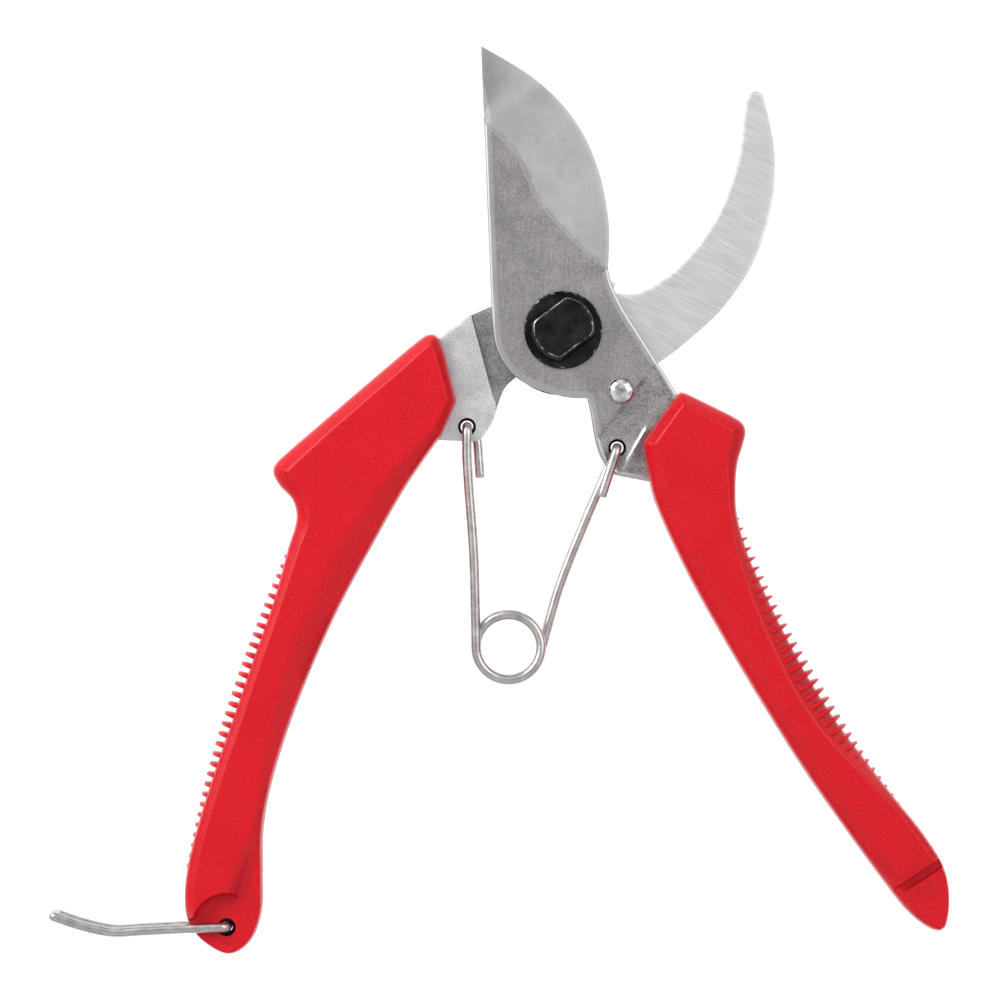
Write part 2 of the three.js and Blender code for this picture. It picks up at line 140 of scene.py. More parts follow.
def circle(centre, radius, count=48):
    angles = np.linspace(0, 2 * math.pi, count, endpoint=False)
    return np.array(centre) + radius * np.stack([np.cos(angles), np.sin(angles)], axis=1)


def outline_normals(outline):
    """The inward normal at each point of a closed outline."""
    ahead = np.roll(outline, -1, axis=0) - outline
    behind = outline - np.roll(outline, 1, axis=0)
    tangent = ahead / np.linalg.norm(ahead, axis=1)[:, None]
    tangent = tangent + behind / np.linalg.norm(behind, axis=1)[:, None]
    tangent /= np.linalg.norm(tangent, axis=1)[:, None]
    normal = np.stack([-tangent[:, 1], tangent[:, 0]], axis=1)
    return normal if signed_area(outline) > 0 else -normal


def signed_area(outline):
    x, y = outline.T
    return 0.5 * float(np.sum(x * np.roll(y, -1) - np.roll(x, -1) * y))


def nearest(points, line, closed=True):
    """For each point: its distance to a polyline, and the index of the nearest segment."""
    ends = np.roll(line, -1, axis=0) if closed else line[1:]
    starts = line if closed else line[:-1]
    span = ends - starts
    length = np.maximum((span ** 2).sum(axis=1), 1e-12)
    best = np.full(len(points), np.inf)
    where = np.zeros(len(points), int)
    for first in range(0, len(points), BATCH):
        some = points[first:first + BATCH]
        offset = some[:, None, :] - starts[None]
        t = np.clip((offset * span[None]).sum(axis=2) / length[None], 0, 1)
        gap = np.linalg.norm(offset - t[..., None] * span[None], axis=2)
        where[first:first + BATCH] = gap.argmin(axis=1)
        best[first:first + BATCH] = gap.min(axis=1)
    return best, where


def distance(points, line, closed=True):
    return nearest(points, line, closed)[0]


def inside(points, outline):
    """Which points lie inside a closed outline."""
    x, y = points[:, 0][:, None], points[:, 1][:, None]
    ax, ay = outline.T
    bx, by = np.roll(outline, -1, axis=0).T
    spans = (ay > y) != (by > y)
    cross = ax + (y - ay) * (bx - ax) / np.where(by == ay, 1e-12, by - ay)
    return (spans & (x < cross)).sum(axis=1) % 2 == 1


def kept_inside(line, outline, margin):
    """The points of a line that lie inside an outline and off it by the margin."""
    return line[inside(line, outline) & (distance(line, outline) > margin)]


def creases(outline, margin, origin, aside, offsets, along, reaches):
    """Straight lines side by side, each from where it enters the outline to where it leaves."""
    lines = [np.array([origin + aside * offset + along * reach for reach in reaches])
             for offset in offsets]
    return [kept_inside(line, outline, margin) for line in lines]


def ramp(value, low, high):
    """0 below low, 1 above high, smooth between."""
    t = np.clip((value - low) / (high - low), 0, 1)
    return t * t * (3 - 2 * t)


# ------------------------------------------------------------------ meshes

RING_FIT = 0.97  # the share of its distance that a ring's point must keep from the outline
HOLE_MARGIN = 0.15
GRID_MARGIN = 0.4  # how far the grid stays off rings and lines, as a share of its spacing
ROW_PITCH = 0.866  # between the grid's rows, as a share of its spacing
MERGE_DISTANCE = 1e-5
WIRE_SIDES = 20
END_ROUND = 0.35  # how far along a wire its rounded end reaches
END_DROP = 0.75
END_STEPS = (0.08, 0.2, 0.35)  # where a wire's end gets rings of its own
ODD_DIRECTION = (0.3, 0.5, 0.81)  # along no wire's first stretch
BEND_POINTS = 9


def mesh_piece(name, vertices, faces, materials, sharp=32, material_index=None):
    """A mesh object from points in millimetres, smooth except across edges sharper than an
    angle in degrees."""
    mesh = bpy.data.meshes.new(name)
    mesh.from_pydata([tuple(v) for v in np.array(vertices) * MM], [], faces)
    mesh.validate()
    for material in materials:
        mesh.materials.append(material)
    if material_index is not None:
        mesh.polygons.foreach_set("material_index", np.array(material_index, np.int32))
    mesh.shade_smooth()
    mesh.set_sharp_from_angle(angle=math.radians(sharp))
    piece = bpy.data.objects.new(name, mesh)
    bpy.context.scene.collection.objects.link(piece)
    return piece


def join(pieces, name):
    """One object from several."""
    for other in bpy.context.view_layer.objects:
        other.select_set(False)
    for piece in pieces:
        piece.select_set(True)
    bpy.context.view_layer.objects.active = pieces[0]
    bpy.ops.object.join()
    pieces[0].name = name
    return pieces[0]


def band_faces(rows, count):
    """The faces between rows of points, each row closed on itself."""
    faces = []
    for row in range(rows - 1):
        low, high = row * count, (row + 1) * count
        for i in range(count):
            j = (i + 1) % count
            faces.append((low + i, low + j, high + j, high + i))
    return faces


def inner_ring(outline, ring, holes):
    """The outline moved inwards by a ring's distances, and which of its points can be used:
    none that come too near to another part of the outline or to a hole."""
    moved = outline + outline_normals(outline) * ring[:, None]
    good = (distance(moved, outline) > ring * RING_FIT) & inside(moved, outline)
    for hole in holes:
        good &= (distance(moved, hole) > HOLE_MARGIN) & ~inside(moved, hole)
    return moved, good


def grid_points(outline, spacing, clear, lines):
    """A grid of staggered rows inside an outline, clear of its rings and of the lines."""
    low, high = outline.min(axis=0), outline.max(axis=0)
    xs = np.arange(low[0], high[0], spacing)
    ys = np.arange(low[1], high[1], spacing * ROW_PITCH)
    grid = np.array([(x + (row % 2) * spacing / 2, y) for row, y in enumerate(ys) for x in xs])
    grid = grid[inside(grid, outline)]
    gap, where = nearest(grid, outline)
    keep = gap > clear[where] + spacing * GRID_MARGIN
    for line in lines:
        keep &= distance(grid, line, closed=False) > spacing * GRID_MARGIN
    return grid[keep]


def plan_triangles(outline, holes, rings, lines, spacing):
    """Points and triangles that fill an outline around its holes. Rings are distances from the
    outline, one per outline point, that get points of their own; lines are creases to keep."""
    points = [outline]
    edges = []
    count = len(outline)
    for hole in holes:
        points.append(hole)
        edges += [(count + i, count + (i + 1) % len(hole)) for i in range(len(hole))]
        count += len(hole)
    for ring in rings:
        moved, good = inner_ring(outline, ring, holes)
        index = np.cumsum(good) - 1 + count
        points.append(moved[good])
        for i in np.flatnonzero(good & np.roll(good, -1)):
            edges.append((int(index[i]), int(index[(i + 1) % len(moved)])))
        count += int(good.sum())
    for line in lines:
        points.append(line)
        edges += [(count + i, count + i + 1) for i in range(len(line) - 1)]
        count += len(line)
    points.append(grid_points(outline, spacing, rings[-1], [*holes, *lines]))
    face = list(range(len(outline)))
    if signed_area(outline) < 0:
        face.reverse()
    every = [Vector(point) for point in np.vstack(points)]
    out = delaunay_2d_cdt(every, edges, [face], 1, MERGE_DISTANCE)
    flat = np.array([(v.x, v.y) for v in out[0]])
    triangles = np.array([list(corners) for corners in out[2]])
    for hole in holes:
        triangles = triangles[~inside(flat[triangles].mean(axis=1), hole)]
    return flat, triangles


def facing_up(flat, triangles):
    """The triangles with their corners in the order that makes them face up."""
    a, b, c = (flat[triangles[:, k]] for k in range(3))
    turn = (b[:, 0] - a[:, 0]) * (c[:, 1] - a[:, 1]) - (b[:, 1] - a[:, 1]) * (c[:, 0] - a[:, 0])
    triangles[turn < 0] = triangles[turn < 0][:, ::-1]
    return triangles


def slab(name, outline, top, bottom, materials, zone, holes, rings, lines, spacing, sharp):
    """A plate or moulding: the outline filled, with its top and bottom levels as functions of
    the plan points, and walls round the outline and the holes. The zone, if there is one, gives
    the material index of each front face, back face and wall."""
    flat, triangles = plan_triangles(outline, holes, rings, lines, spacing)
    used = np.unique(triangles)
    renumber = np.full(len(flat), -1)
    renumber[used] = np.arange(len(used))
    flat = flat[used]
    triangles = facing_up(flat, renumber[triangles])
    count = len(flat)
    upper = np.column_stack([flat, top(flat)])
    lower = np.column_stack([flat, bottom(flat)])
    directed = {}
    for tri in triangles:
        for i in range(3):
            directed[(int(tri[i]), int(tri[(i + 1) % 3]))] = True
    rim = [(a, b) for a, b in directed if (b, a) not in directed]
    faces = [tuple(int(i) for i in tri) for tri in triangles]
    faces += [tuple(int(i) + count for i in tri[::-1]) for tri in triangles]
    faces += [(b, a, a + count, b + count) for a, b in rim]
    index = None
    if zone is not None:
        centres = flat[triangles].mean(axis=1)
        front, back, wall = zone(centres)
        rim_centres = np.array([(flat[a] + flat[b]) / 2 for a, b in rim])
        index = np.concatenate([front, back, wall(rim_centres)])
    vertices = np.vstack([upper, lower])
    return mesh_piece(name, vertices, faces, materials, sharp, index)


def lathe(name, profile, centre, materials, count=72, sharp=32):
    """A turned piece: a closed or axis-to-axis profile of (radius, level) about a vertical axis."""
    angles = np.linspace(0, 2 * math.pi, count, endpoint=False)
    vertices = []
    rows = []
    for radius, level in profile:
        if radius < 1e-6:
            rows.append([len(vertices)] * count)
            vertices.append((centre[0], centre[1], level))
            continue
        rows.append(list(range(len(vertices), len(vertices) + count)))
        for angle in angles:
            vertices.append((centre[0] + radius * math.cos(angle),
                             centre[1] + radius * math.sin(angle), level))
    faces = []
    for low, high in zip(rows[:-1], rows[1:]):
        for i in range(count):
            j = (i + 1) % count
            corner = [low[i], low[j], high[j], high[i]]
            face = [v for k, v in enumerate(corner) if v not in corner[:k]]
            if len(face) > 2:
                faces.append(tuple(face))
    return mesh_piece(name, vertices, faces, materials, sharp)


def tube(name, path, radius, materials):
    """A round wire along a path of points, with its two ends rounded over."""
    path = np.array(path, float)
    moved = np.linalg.norm(np.diff(path, axis=0), axis=1) > 1e-3
    path = path[np.concatenate([[True], moved])]
    tangents = np.gradient(path, axis=0)
    tangents /= np.linalg.norm(tangents, axis=1)[:, None]
    side = np.cross(tangents[0], ODD_DIRECTION)
    angles = np.linspace(0, 2 * math.pi, WIRE_SIDES, endpoint=False)
    rings = []
    reach = np.concatenate([[0], np.cumsum(np.linalg.norm(np.diff(path, axis=0), axis=1))])
    for i, (point, tangent) in enumerate(zip(path, tangents)):
        side = unit(side - tangent * np.dot(side, tangent))
        other = np.cross(tangent, side)
        from_end = min(reach[i], reach[-1] - reach[i])
        inset = max(0.0, 1 - from_end / END_ROUND)
        width = radius * math.sqrt(1 - (END_DROP * inset) ** 2)
        rings.append(point + width * (np.cos(angles)[:, None] * side
                                      + np.sin(angles)[:, None] * other))
    faces = band_faces(len(path), WIRE_SIDES)
    faces.append(tuple(range(WIRE_SIDES))[::-1])
    last = (len(path) - 1) * WIRE_SIDES
    faces.append(tuple(range(last, last + WIRE_SIDES)))
    return mesh_piece(name, np.vstack(rings), faces, materials, 50)


def straight_count(start, end):
    """How many steps of about a millimetre a straight stretch of wire gets."""
    return max(2, int(np.linalg.norm(end - start)))


def bent_path(corners, bend):
    """Straight lines through the corners, each corner turned on an arc-like bend."""
    corners = [np.array(corner, float) for corner in corners]
    points = [corners[0]]
    for before, corner, after in zip(corners[:-2], corners[1:-1], corners[2:]):
        reach = min(bend, np.linalg.norm(before - corner) / 2, np.linalg.norm(after - corner) / 2)
        start = corner + unit(before - corner) * reach
        end = corner + unit(after - corner) * reach
        steps = np.linspace(0, 1, straight_count(points[-1], start) + 1)[1:]
        points += [points[-1] + (start - points[-1]) * t for t in steps]
        for t in np.linspace(0, 1, BEND_POINTS)[1:]:
            points.append((1 - t) ** 2 * start + 2 * t * (1 - t) * corner + t * t * end)
    start = points[-1]
    steps = np.linspace(0, 1, straight_count(start, corners[-1]) + 1)[1:]
    ends = np.array([0.0, *END_STEPS]) / np.linalg.norm(corners[-1] - start)
    steps = np.unique(np.concatenate([steps[steps < 1 - ends[-1]], 1 - ends]))
    points += [start + (corners[-1] - start) * t for t in steps]
    first = unit(points[1] - points[0])
    return [points[0]] + [points[0] + first * reach for reach in END_STEPS] + points[1:]


# ------------------------------------------------------------------ materials

MIX_COLOURS = (6, 7)  # a mix node's colour inputs and output: their names aren't unique
MIX_RESULT = 2


def map_range(tree, value, low, high, out_low, out_high):
    node = tree.nodes.new("ShaderNodeMapRange")
    for key, number in zip(("From Min", "From Max", "To Min", "To Max"),
                           (low, high, out_low, out_high)):
        node.inputs[key].default_value = number
    tree.links.new(value, node.inputs["Value"])
    return node.outputs["Result"]


class Nodes:
    """A small helper to write a material's node tree."""

    def __init__(self, name):
        self.material = bpy.data.materials.new(name)
        self.material.use_nodes = True
        self.tree = self.material.node_tree
        self.shader = self.tree.nodes["Principled BSDF"]
        self.place = self.add("ShaderNodeTexCoord").outputs["Object"]

    def add(self, kind, **values):
        node = self.tree.nodes.new(kind)
        for key, value in values.items():
            setattr(node, key, value)
        return node

    def link(self, source, target):
        self.tree.links.new(source, target)

    def stretched(self, scale, turn):
        """The place in the row frame, turned about Z and scaled per axis."""
        turned = self.add("ShaderNodeMapping", vector_type="TEXTURE")
        turned.inputs["Rotation"].default_value = (0, 0, math.radians(turn))
        self.link(self.place, turned.inputs["Vector"])
        scaled = self.add("ShaderNodeMapping")
        scaled.inputs["Scale"].default_value = scale
        self.link(turned.outputs["Vector"], scaled.inputs["Vector"])
        return scaled.outputs["Vector"]

    def noise(self, vector, scale, detail, roughness=0.55):
        node = self.add("ShaderNodeTexNoise")
        node.inputs["Scale"].default_value = scale
        node.inputs["Detail"].default_value = detail
        node.inputs["Roughness"].default_value = roughness
        self.link(vector, node.inputs["Vector"])
        return node.outputs["Fac"]

    def remap(self, value, low, high, out_low, out_high):
        return map_range(self.tree, value, low, high, out_low, out_high)

    def math(self, operation, a, b):
        node = self.add("ShaderNodeMath", operation=operation)
        for socket, value in zip(node.inputs, (a, b)):
            if isinstance(value, (int, float)):
                socket.default_value = value
            else:
                self.link(value, socket)
        return node.outputs[0]

    def mix(self, factor, a, b):
        node = self.add("ShaderNodeMix", data_type="RGBA")
        self.link(factor, node.inputs["Factor"])
        for index, colour in zip(MIX_COLOURS, (a, b)):
            if isinstance(colour, tuple):
                node.inputs[index].default_value = (*colour, 1)
            else:
                self.link(colour, node.inputs[index])
        return node.outputs[MIX_RESULT]

    def bump(self, height, strength, depth):
        node = self.add("ShaderNodeBump")
        node.inputs["Strength"].default_value = strength
        node.inputs["Distance"].default_value = depth * MM
        self.link(height, node.inputs["Height"])
        self.link(node.outputs["Normal"], self.shader.inputs["Normal"])

    def set(self, **values):
        for key, value in values.items():
            self.shader.inputs[key.title()].default_value = value


STREAK_SCALE = (170, 4200, 170)  # long along the first axis, fine across it
GLOSS_SPREAD = 0.04  # how far the roughness strays either way


def steel(name, dark, light, rough, streak_turn, streak=1.0, grain=1.0, mottle=0.5):
    """Ground or brushed steel: fine streaks along one direction, grain, and a faint mottle.
    The amounts say how far each of them moves the tone between the dark and the light colour."""
    m = Nodes(name)
    m.set(metallic=1.0)
    streaks = m.noise(m.stretched(STREAK_SCALE, streak_turn), scale=1.0, detail=3.0)
    grains = m.noise(m.place, scale=4200.0, detail=2.0)
    cloud = m.noise(m.place, scale=150.0, detail=5.0, roughness=0.6)
    tone = None
    for pattern, amount in ((streaks, streak), (grains, grain), (cloud, mottle)):
        part = m.math("MULTIPLY", m.math("SUBTRACT", pattern, 0.5), amount * 2)
        tone = part if tone is None else m.math("ADD", tone, part)
    tone = m.remap(tone, -0.5, 0.5, 0.0, 1.0)
    m.link(m.mix(tone, dark, light), m.shader.inputs["Base Color"])
    roughness = m.remap(tone, 0.0, 1.0, rough - GLOSS_SPREAD, rough + GLOSS_SPREAD)
    m.link(roughness, m.shader.inputs["Roughness"])
    m.bump(streaks, strength=0.3, depth=0.012)
    return m.material


def forged_steel(name):
    """The tang's rough face: dark pits in a blasted grey."""
    m = Nodes(name)
    m.set(metallic=1.0)
    pits = m.noise(m.place, scale=2600.0, detail=4.0, roughness=0.7)
    cloud = m.noise(m.place, scale=300.0, detail=4.0)
    tone = m.math("ADD", m.math("MULTIPLY", pits, 0.75), m.math("MULTIPLY", cloud, 0.5))
    tone = m.remap(tone, 0.45, 0.85, 0.0, 1.0)
    m.link(m.mix(tone, (0.13, 0.128, 0.132), (0.50, 0.49, 0.495)), m.shader.inputs["Base Color"])
    m.set(roughness=0.5)
    m.bump(pits, strength=0.9, depth=0.12)
    return m.material


def black_oxide(name):
    """Blackened steel, rubbed bright along the edges."""
    m = Nodes(name)
    m.set(metallic=0.85)
    wear = m.add("ShaderNodeAttribute", attribute_name="wear").outputs["Fac"]
    chips = m.noise(m.place, scale=900.0, detail=6.0, roughness=0.7)
    worn = m.math("ADD", wear, m.remap(chips, 0.35, 0.75, -0.55, 0.35))
    worn = m.remap(worn, 0.5, 0.75, 0.0, 1.0)
    cloud = m.noise(m.place, scale=350.0, detail=5.0, roughness=0.6)
    black = m.mix(m.remap(cloud, 0.35, 0.7, 0.0, 1.0), (0.006, 0.006, 0.007), (0.03, 0.03, 0.033))
    m.link(m.mix(worn, black, (0.42, 0.42, 0.44)), m.shader.inputs["Base Color"])
    m.link(m.remap(cloud, 0.3, 0.7, 0.26, 0.42), m.shader.inputs["Roughness"])
    m.bump(chips, strength=0.4, depth=0.05)
    return m.material


def bright_steel(name):
    m = Nodes(name)
    m.set(metallic=1.0)
    # The dark blotches in the base colour are painted reflections of dark surroundings on the dome.
    cloud = m.remap(m.noise(m.place, scale=650.0, detail=3.0), 0.35, 0.6, 0.0, 1.0)
    m.link(m.mix(cloud, (0.3, 0.3, 0.3), (0.75, 0.75, 0.75)), m.shader.inputs["Base Color"])
    m.link(m.remap(cloud, 0.3, 0.7, 0.1, 0.2), m.shader.inputs["Roughness"])
    return m.material


def drawn_wire(name):
    """Stainless spring wire with faint die marks and a soft sheen."""
    m = Nodes(name)
    m.set(metallic=1.0)
    cloud = m.noise(m.place, scale=420.0, detail=5.0, roughness=0.6)
    fine = m.noise(m.place, scale=3200.0, detail=3.0)
    tone = m.math("ADD", m.math("MULTIPLY", cloud, 0.7), m.math("MULTIPLY", fine, 0.3))
    tone = m.remap(tone, 0.35, 0.65, 0.0, 1.0)
    m.link(m.mix(tone, (0.40, 0.388, 0.38), (0.60, 0.58, 0.565)), m.shader.inputs["Base Color"])
    m.link(m.remap(cloud, 0.3, 0.7, 0.22, 0.34), m.shader.inputs["Roughness"])
    m.bump(fine, strength=0.3, depth=0.015)
    return m.material


def red_plastic(name):
    """Moulded plastic: saturated red, satin gloss, a fine grain."""
    m = Nodes(name)
    grain = m.noise(m.place, scale=2000.0, detail=3.0)
    cloud = m.noise(m.place, scale=120.0, detail=3.0)
    tone = m.math("ADD", m.math("MULTIPLY", grain, 0.8), m.math("MULTIPLY", cloud, 0.2))
    tone = m.remap(tone, 0.3, 0.7, 0.0, 1.0)
    colour = m.mix(tone, (0.46, 0.001, 0.006), (0.67, 0.007, 0.019))
    m.link(colour, m.shader.inputs["Base Color"])
    m.link(m.remap(grain, 0.3, 0.7, 0.28, 0.38), m.shader.inputs["Roughness"])
    m.shader.inputs["Specular IOR Level"].default_value = 0.25
    m.bump(grain, strength=0.3, depth=0.04)
    return m.material


GROUND = steel("ground_steel", dark=(0.30, 0.285, 0.288), light=(0.50, 0.47, 0.475),
               rough=0.36, streak_turn=88, streak=0.5, grain=1.5, mottle=0.7)
BEVEL = steel("bevel_steel", dark=(0.32, 0.32, 0.33), light=(0.42, 0.42, 0.43),
              rough=0.36, streak_turn=75, streak=0.3, grain=0.7, mottle=1.0)
# Lighter steel for the chamfers, also used for the thin painted highlight lines along the ridge and
# the bend.
CHAMFER_AND_PAINTED_HIGHLIGHT = steel("chamfer_and_painted_highlight_steel", dark=(0.40, 0.40, 0.41), light=(0.53, 0.53, 0.54),
                rough=0.38, streak_turn=88, streak=0.6, grain=0.8, mottle=0.4)
BRUSHED = steel("brushed_steel", dark=(0.68, 0.67, 0.68), light=(0.86, 0.85, 0.86),
                rough=0.36, streak_turn=-27, streak=1.2, grain=0.4, mottle=0.1)
SATIN = steel("satin_steel", dark=(0.44, 0.44, 0.45), light=(0.76, 0.76, 0.77),
              rough=0.48, streak_turn=-20, streak=0.2, grain=1.4, mottle=0.9)
FORGED = forged_steel("forged_steel")
BLACK = black_oxide("black_oxide")
BRIGHT = bright_steel("bright_steel")
WIRE = drawn_wire("drawn_wire")
RED = red_plastic("red_plastic")
# Near-black steel for the linings of the small holes: painted shade, so that the holes look dark
# inside.
PAINTED_SHADE_BORE = steel("bore_painted_shade_steel", dark=(0.02, 0.02, 0.02), light=(0.06, 0.06, 0.06),
             rough=0.5, streak_turn=0)


# ------------------------------------------------------------------ cutting blade

CUTTING_EDGE = [(-16.4, 56.9), (-5.4, 50.1), (2.3, 42.1), (6.9, 32.7), (9.1, 22), (9, 12.1)]
RIDGE = [(-16, 43.4), (-15.6, 41.4), (-14.3, 40.1), (-11.5, 37.6), (-9.3, 35.1), (-8, 32.6),
         (-6.8, 29.8), (-5.9, 27.3), (-4.3, 25.1), (-2, 22.3), (3.5, 16.5), (9, 12)]
SPINE = [(-14.4, 6.1), (-16.4, 56.9)]
BLADE_CHAMFER = 1.4
CHAMFER_DROP = 0.14
STEP_DISTANCE = 21.2
STEP_DIRECTION = -45
ROUGH_DISTANCE = 18.4
ROUGH_DIRECTION = -37.7
BEND_LINE = [(16.6, -19.6), (14.6, -23), (11.8, -27.6)]
EDGE_THICKNESS = 0.55
BEVEL_DROP = FRONT_FACE - FRONT_JOINT - EDGE_THICKNESS
BEVEL_RUN = 13.0  # the bevel falls evenly over at least this width
RIDGE_LINE = 0.3  # width of the painted highlight line beside the ridge
STEP_SHARE = 0.35  # how much of the drop to the tang falls in a short step, not in a long slope
EDGE_CURVE = curve_through(CUTTING_EDGE)
RIDGE_CURVE = curve_through(RIDGE)
GROUND_ZONE, BEVEL_ZONE, CHAMFER_AND_PAINTED_HIGHLIGHT_ZONE, FORGED_ZONE = range(4)


def cutting_outline():
    return trace(
        CUTTING_EDGE,
        [(9, 12.1), (9.8, 8.9), (12.1, 4.2)],
        [(12.1, 4.2), (22.5, -12.3)],
        [(22.5, -12.3), (24.2, -15.6)],
        [(24.2, -15.6), (19.5, -30.7)],
        [(19.5, -30.7), (10.4, -28.9)],
        [(10.4, -28.9), (8, -26.3), (6.5, -22.4), (5.4, -16.2), (4.8, -13.6)],
        [(4.8, -13.6), (-0.6, -13.1), (-9, -9.7), (-13.4, -3.6), (-14.4, 6.1)],
        SPINE,
    )


def beyond_step(flat):
    return flat @ direction(STEP_DIRECTION) - STEP_DISTANCE


def beyond_rough(flat):
    """How far past the line where the tang's as-forged face begins."""
    return flat @ direction(ROUGH_DIRECTION) - ROUGH_DISTANCE


def cutting_top(flat):
    to_edge = distance(flat, EDGE_CURVE, closed=False)
    to_ridge = distance(flat, RIDGE_CURVE, closed=False)
    to_rim = distance(flat, cutting_outline())
    bevel = BEVEL_DROP * to_ridge / np.maximum(to_ridge + to_edge, BEVEL_RUN)
    bevel = bevel + 0.03 * ramp(0.5 - to_edge, 0.0, 0.5)
    chamfer = CHAMFER_DROP * np.clip(1 - to_rim / BLADE_CHAMFER, 0, 1) ** 2
    chamfer = chamfer + 0.3 * np.clip(1 - to_rim / 0.45, 0, 1) ** 2
    level = FRONT_FACE - np.where(in_bevel(flat), bevel, chamfer)
    past = beyond_rough(flat)
    step = STEP_SHARE * ramp(past, 0, 0.8) * ramp(to_rim, 0.5, 1.3)
    slope = (1 - STEP_SHARE) * ramp(past, 0.5, 5.0)
    to_bend = distance(flat, np.array(BEND_LINE), closed=False)
    return level - (FRONT_FACE - TANG_TOP) * (step + slope) + 0.3 * np.exp(-(to_bend / 0.5) ** 2)


def chamfer_width(flat):
    """The chamfer narrows along the spine towards the tip."""
    return BLADE_CHAMFER * np.clip((51 - flat[:, 1]) / 8, 0.2, 1)


def in_bevel(flat):
    """Between the ridge and the cutting edge."""
    past_edge = EDGE_CURVE + (3, 2)
    before_tip = [EDGE_CURVE[0] + (-4, 4), RIDGE_CURVE[0] + (-3, 0)]
    return inside(flat, np.vstack([*before_tip, RIDGE_CURVE, past_edge[::-1]]))


def cutting_bottom(flat):
    return np.where(beyond_step(flat) > 0.2, TANG_BOTTOM, FRONT_JOINT)


def cutting_zone(centres):
    to_rim = distance(centres, cutting_outline())
    to_edge = distance(centres, EDGE_CURVE, closed=False)
    to_ridge = distance(centres, RIDGE_CURVE, closed=False)
    to_bend = distance(centres, np.array(BEND_LINE), closed=False)
    front = np.where(in_bevel(centres), BEVEL_ZONE, GROUND_ZONE)
    # Painted highlight: a thin line of the lighter steel beside the ridge.
    front[(front == GROUND_ZONE) & (to_ridge < RIDGE_LINE)] = CHAMFER_AND_PAINTED_HIGHLIGHT_ZONE
    front[(to_rim < chamfer_width(centres)) & (to_edge > to_rim + 0.02)] = CHAMFER_AND_PAINTED_HIGHLIGHT_ZONE
    front[(beyond_rough(centres) > 0) & (to_rim > 0.9)] = FORGED_ZONE
    # Painted highlight: the lighter steel along the bend ridge.
    front[to_bend < 0.35] = CHAMFER_AND_PAINTED_HIGHLIGHT_ZONE
    back = np.where(beyond_step(centres) > 0, FORGED_ZONE, GROUND_ZONE)
    return front, back, lambda rim: np.full(len(rim), CHAMFER_AND_PAINTED_HIGHLIGHT_ZONE)


def cutting_blade():
    outline = cutting_outline()
    step = direction(ROUGH_DIRECTION)
    across = np.array([-step[1], step[0]])
    ridge = RIDGE_CURVE[2:-3]
    beside = ridge - outline_normals(ridge) * RIDGE_LINE
    spine = curve_through(SPINE)
    spine = spine[(spine[:, 1] > 43.5) & (spine[:, 1] < 50)]
    lines = [ridge, beside[4:-6], spine + chamfer_width(spine)[:, None] * (1, 0)]
    lines += creases(outline, 0.3, step * ROUGH_DISTANCE - across * 14, step, (0.0, 0.4, 0.8),
                     across, np.arange(0, 28, 0.8))
    lines.append(curve_through(BEND_LINE))
    rings = [np.full(len(outline), ring) for ring in (0.2, 0.5, 0.9, BLADE_CHAMFER)]
    holes = [circle(PIVOT, BOLT_HOLE), circle(STOP, 1.75, 24), circle(RIGHT_HOLE, SMALL_HOLE, 32)]
    blade = slab("cutting_blade_plate", outline, cutting_top, cutting_bottom,
                 [GROUND, BEVEL, CHAMFER_AND_PAINTED_HIGHLIGHT, FORGED], cutting_zone, holes, rings, lines, 1.0, 12)
    return join([blade, painted_shade_liner(RIGHT_HOLE)], "cutting_blade_steel")


def painted_shade_liner(spot):
    """The burred wall of a small bore through a tang, narrowest half way down, coloured near-black
    as painted shade inside the hole.
    """
    profile = [(LINER, TANG_BOTTOM + 0.05), (LINER, TANG_TOP - 0.05), (1.6, TANG_TOP - 0.4),
               (1.25, MID), (1.6, TANG_BOTTOM + 0.4), (LINER, TANG_BOTTOM + 0.05)]
    return lathe("painted_shade_liner", profile, spot, [PAINTED_SHADE_BORE], 32)


# ------------------------------------------------------------------ hook

WALL_DISTANCE = 16.7
WALL_DIRECTION = 195
BOSS = 13.0
BOSS_END = -39.6  # where the boss's arc meets the counter blade's neck
NECK = 18.0
WALL_FOOT = 0.8  # how high the fillet at the wall's foot climbs
WALL_MARGIN = 0.1
BRUSHED_ZONE, SATIN_ZONE, ROUGH_ZONE = range(3)


def hook_outline():
    arc = [tuple(BOSS * direction(a)) for a in np.linspace(-135, BOSS_END, 12)]
    neck = tuple(NECK * direction(BOSS_END))
    return trace(
        arc,
        [arc[-1], neck],
        [neck, (18.4, -7)],
        [(18.4, -7), (22.8, -3.9)],
        [(22.8, -3.9), (31.6, 4.1), (38.3, 14), (42.2, 26.1), (42.8, 36), (40.8, 46.1),
         (39.6, 47.6), (37.8, 47.8), (36.5, 45.2), (35, 34.1), (30.4, 22.1), (23, 12.6),
         (15.4, 7.6), (10.7, 7.5)],
        [(10.7, 7.5), (9.7, 8.2)],
        [(9.7, 8.2), (10.6, 9.4), (8.9, 11.4)],
        [(8.9, 11.4), tuple(BOSS * direction(62)), tuple(BOSS * direction(90)),
         tuple(BOSS * direction(120)), (-14.2, 4.9)],
        [(-14.2, 4.9), (-19.2, 2.7)],
        [(-19.2, 2.7), (-24.1, -0.9)],
        [(-24.1, -0.9), (-27.5, -4)],
        [(-27.5, -4), (-24.5, -12)],
        [(-24.5, -12), (-25.4, -21.9)],
        [(-25.4, -21.9), (-18.6, -22.2)],
        [(-18.6, -22.2), (-16.4, -21.6), (-14, -18), (-12.7, -13.9), (-11.4, -11.2), arc[0]],
    )


def beyond_wall(flat):
    return flat @ direction(WALL_DIRECTION) - WALL_DISTANCE


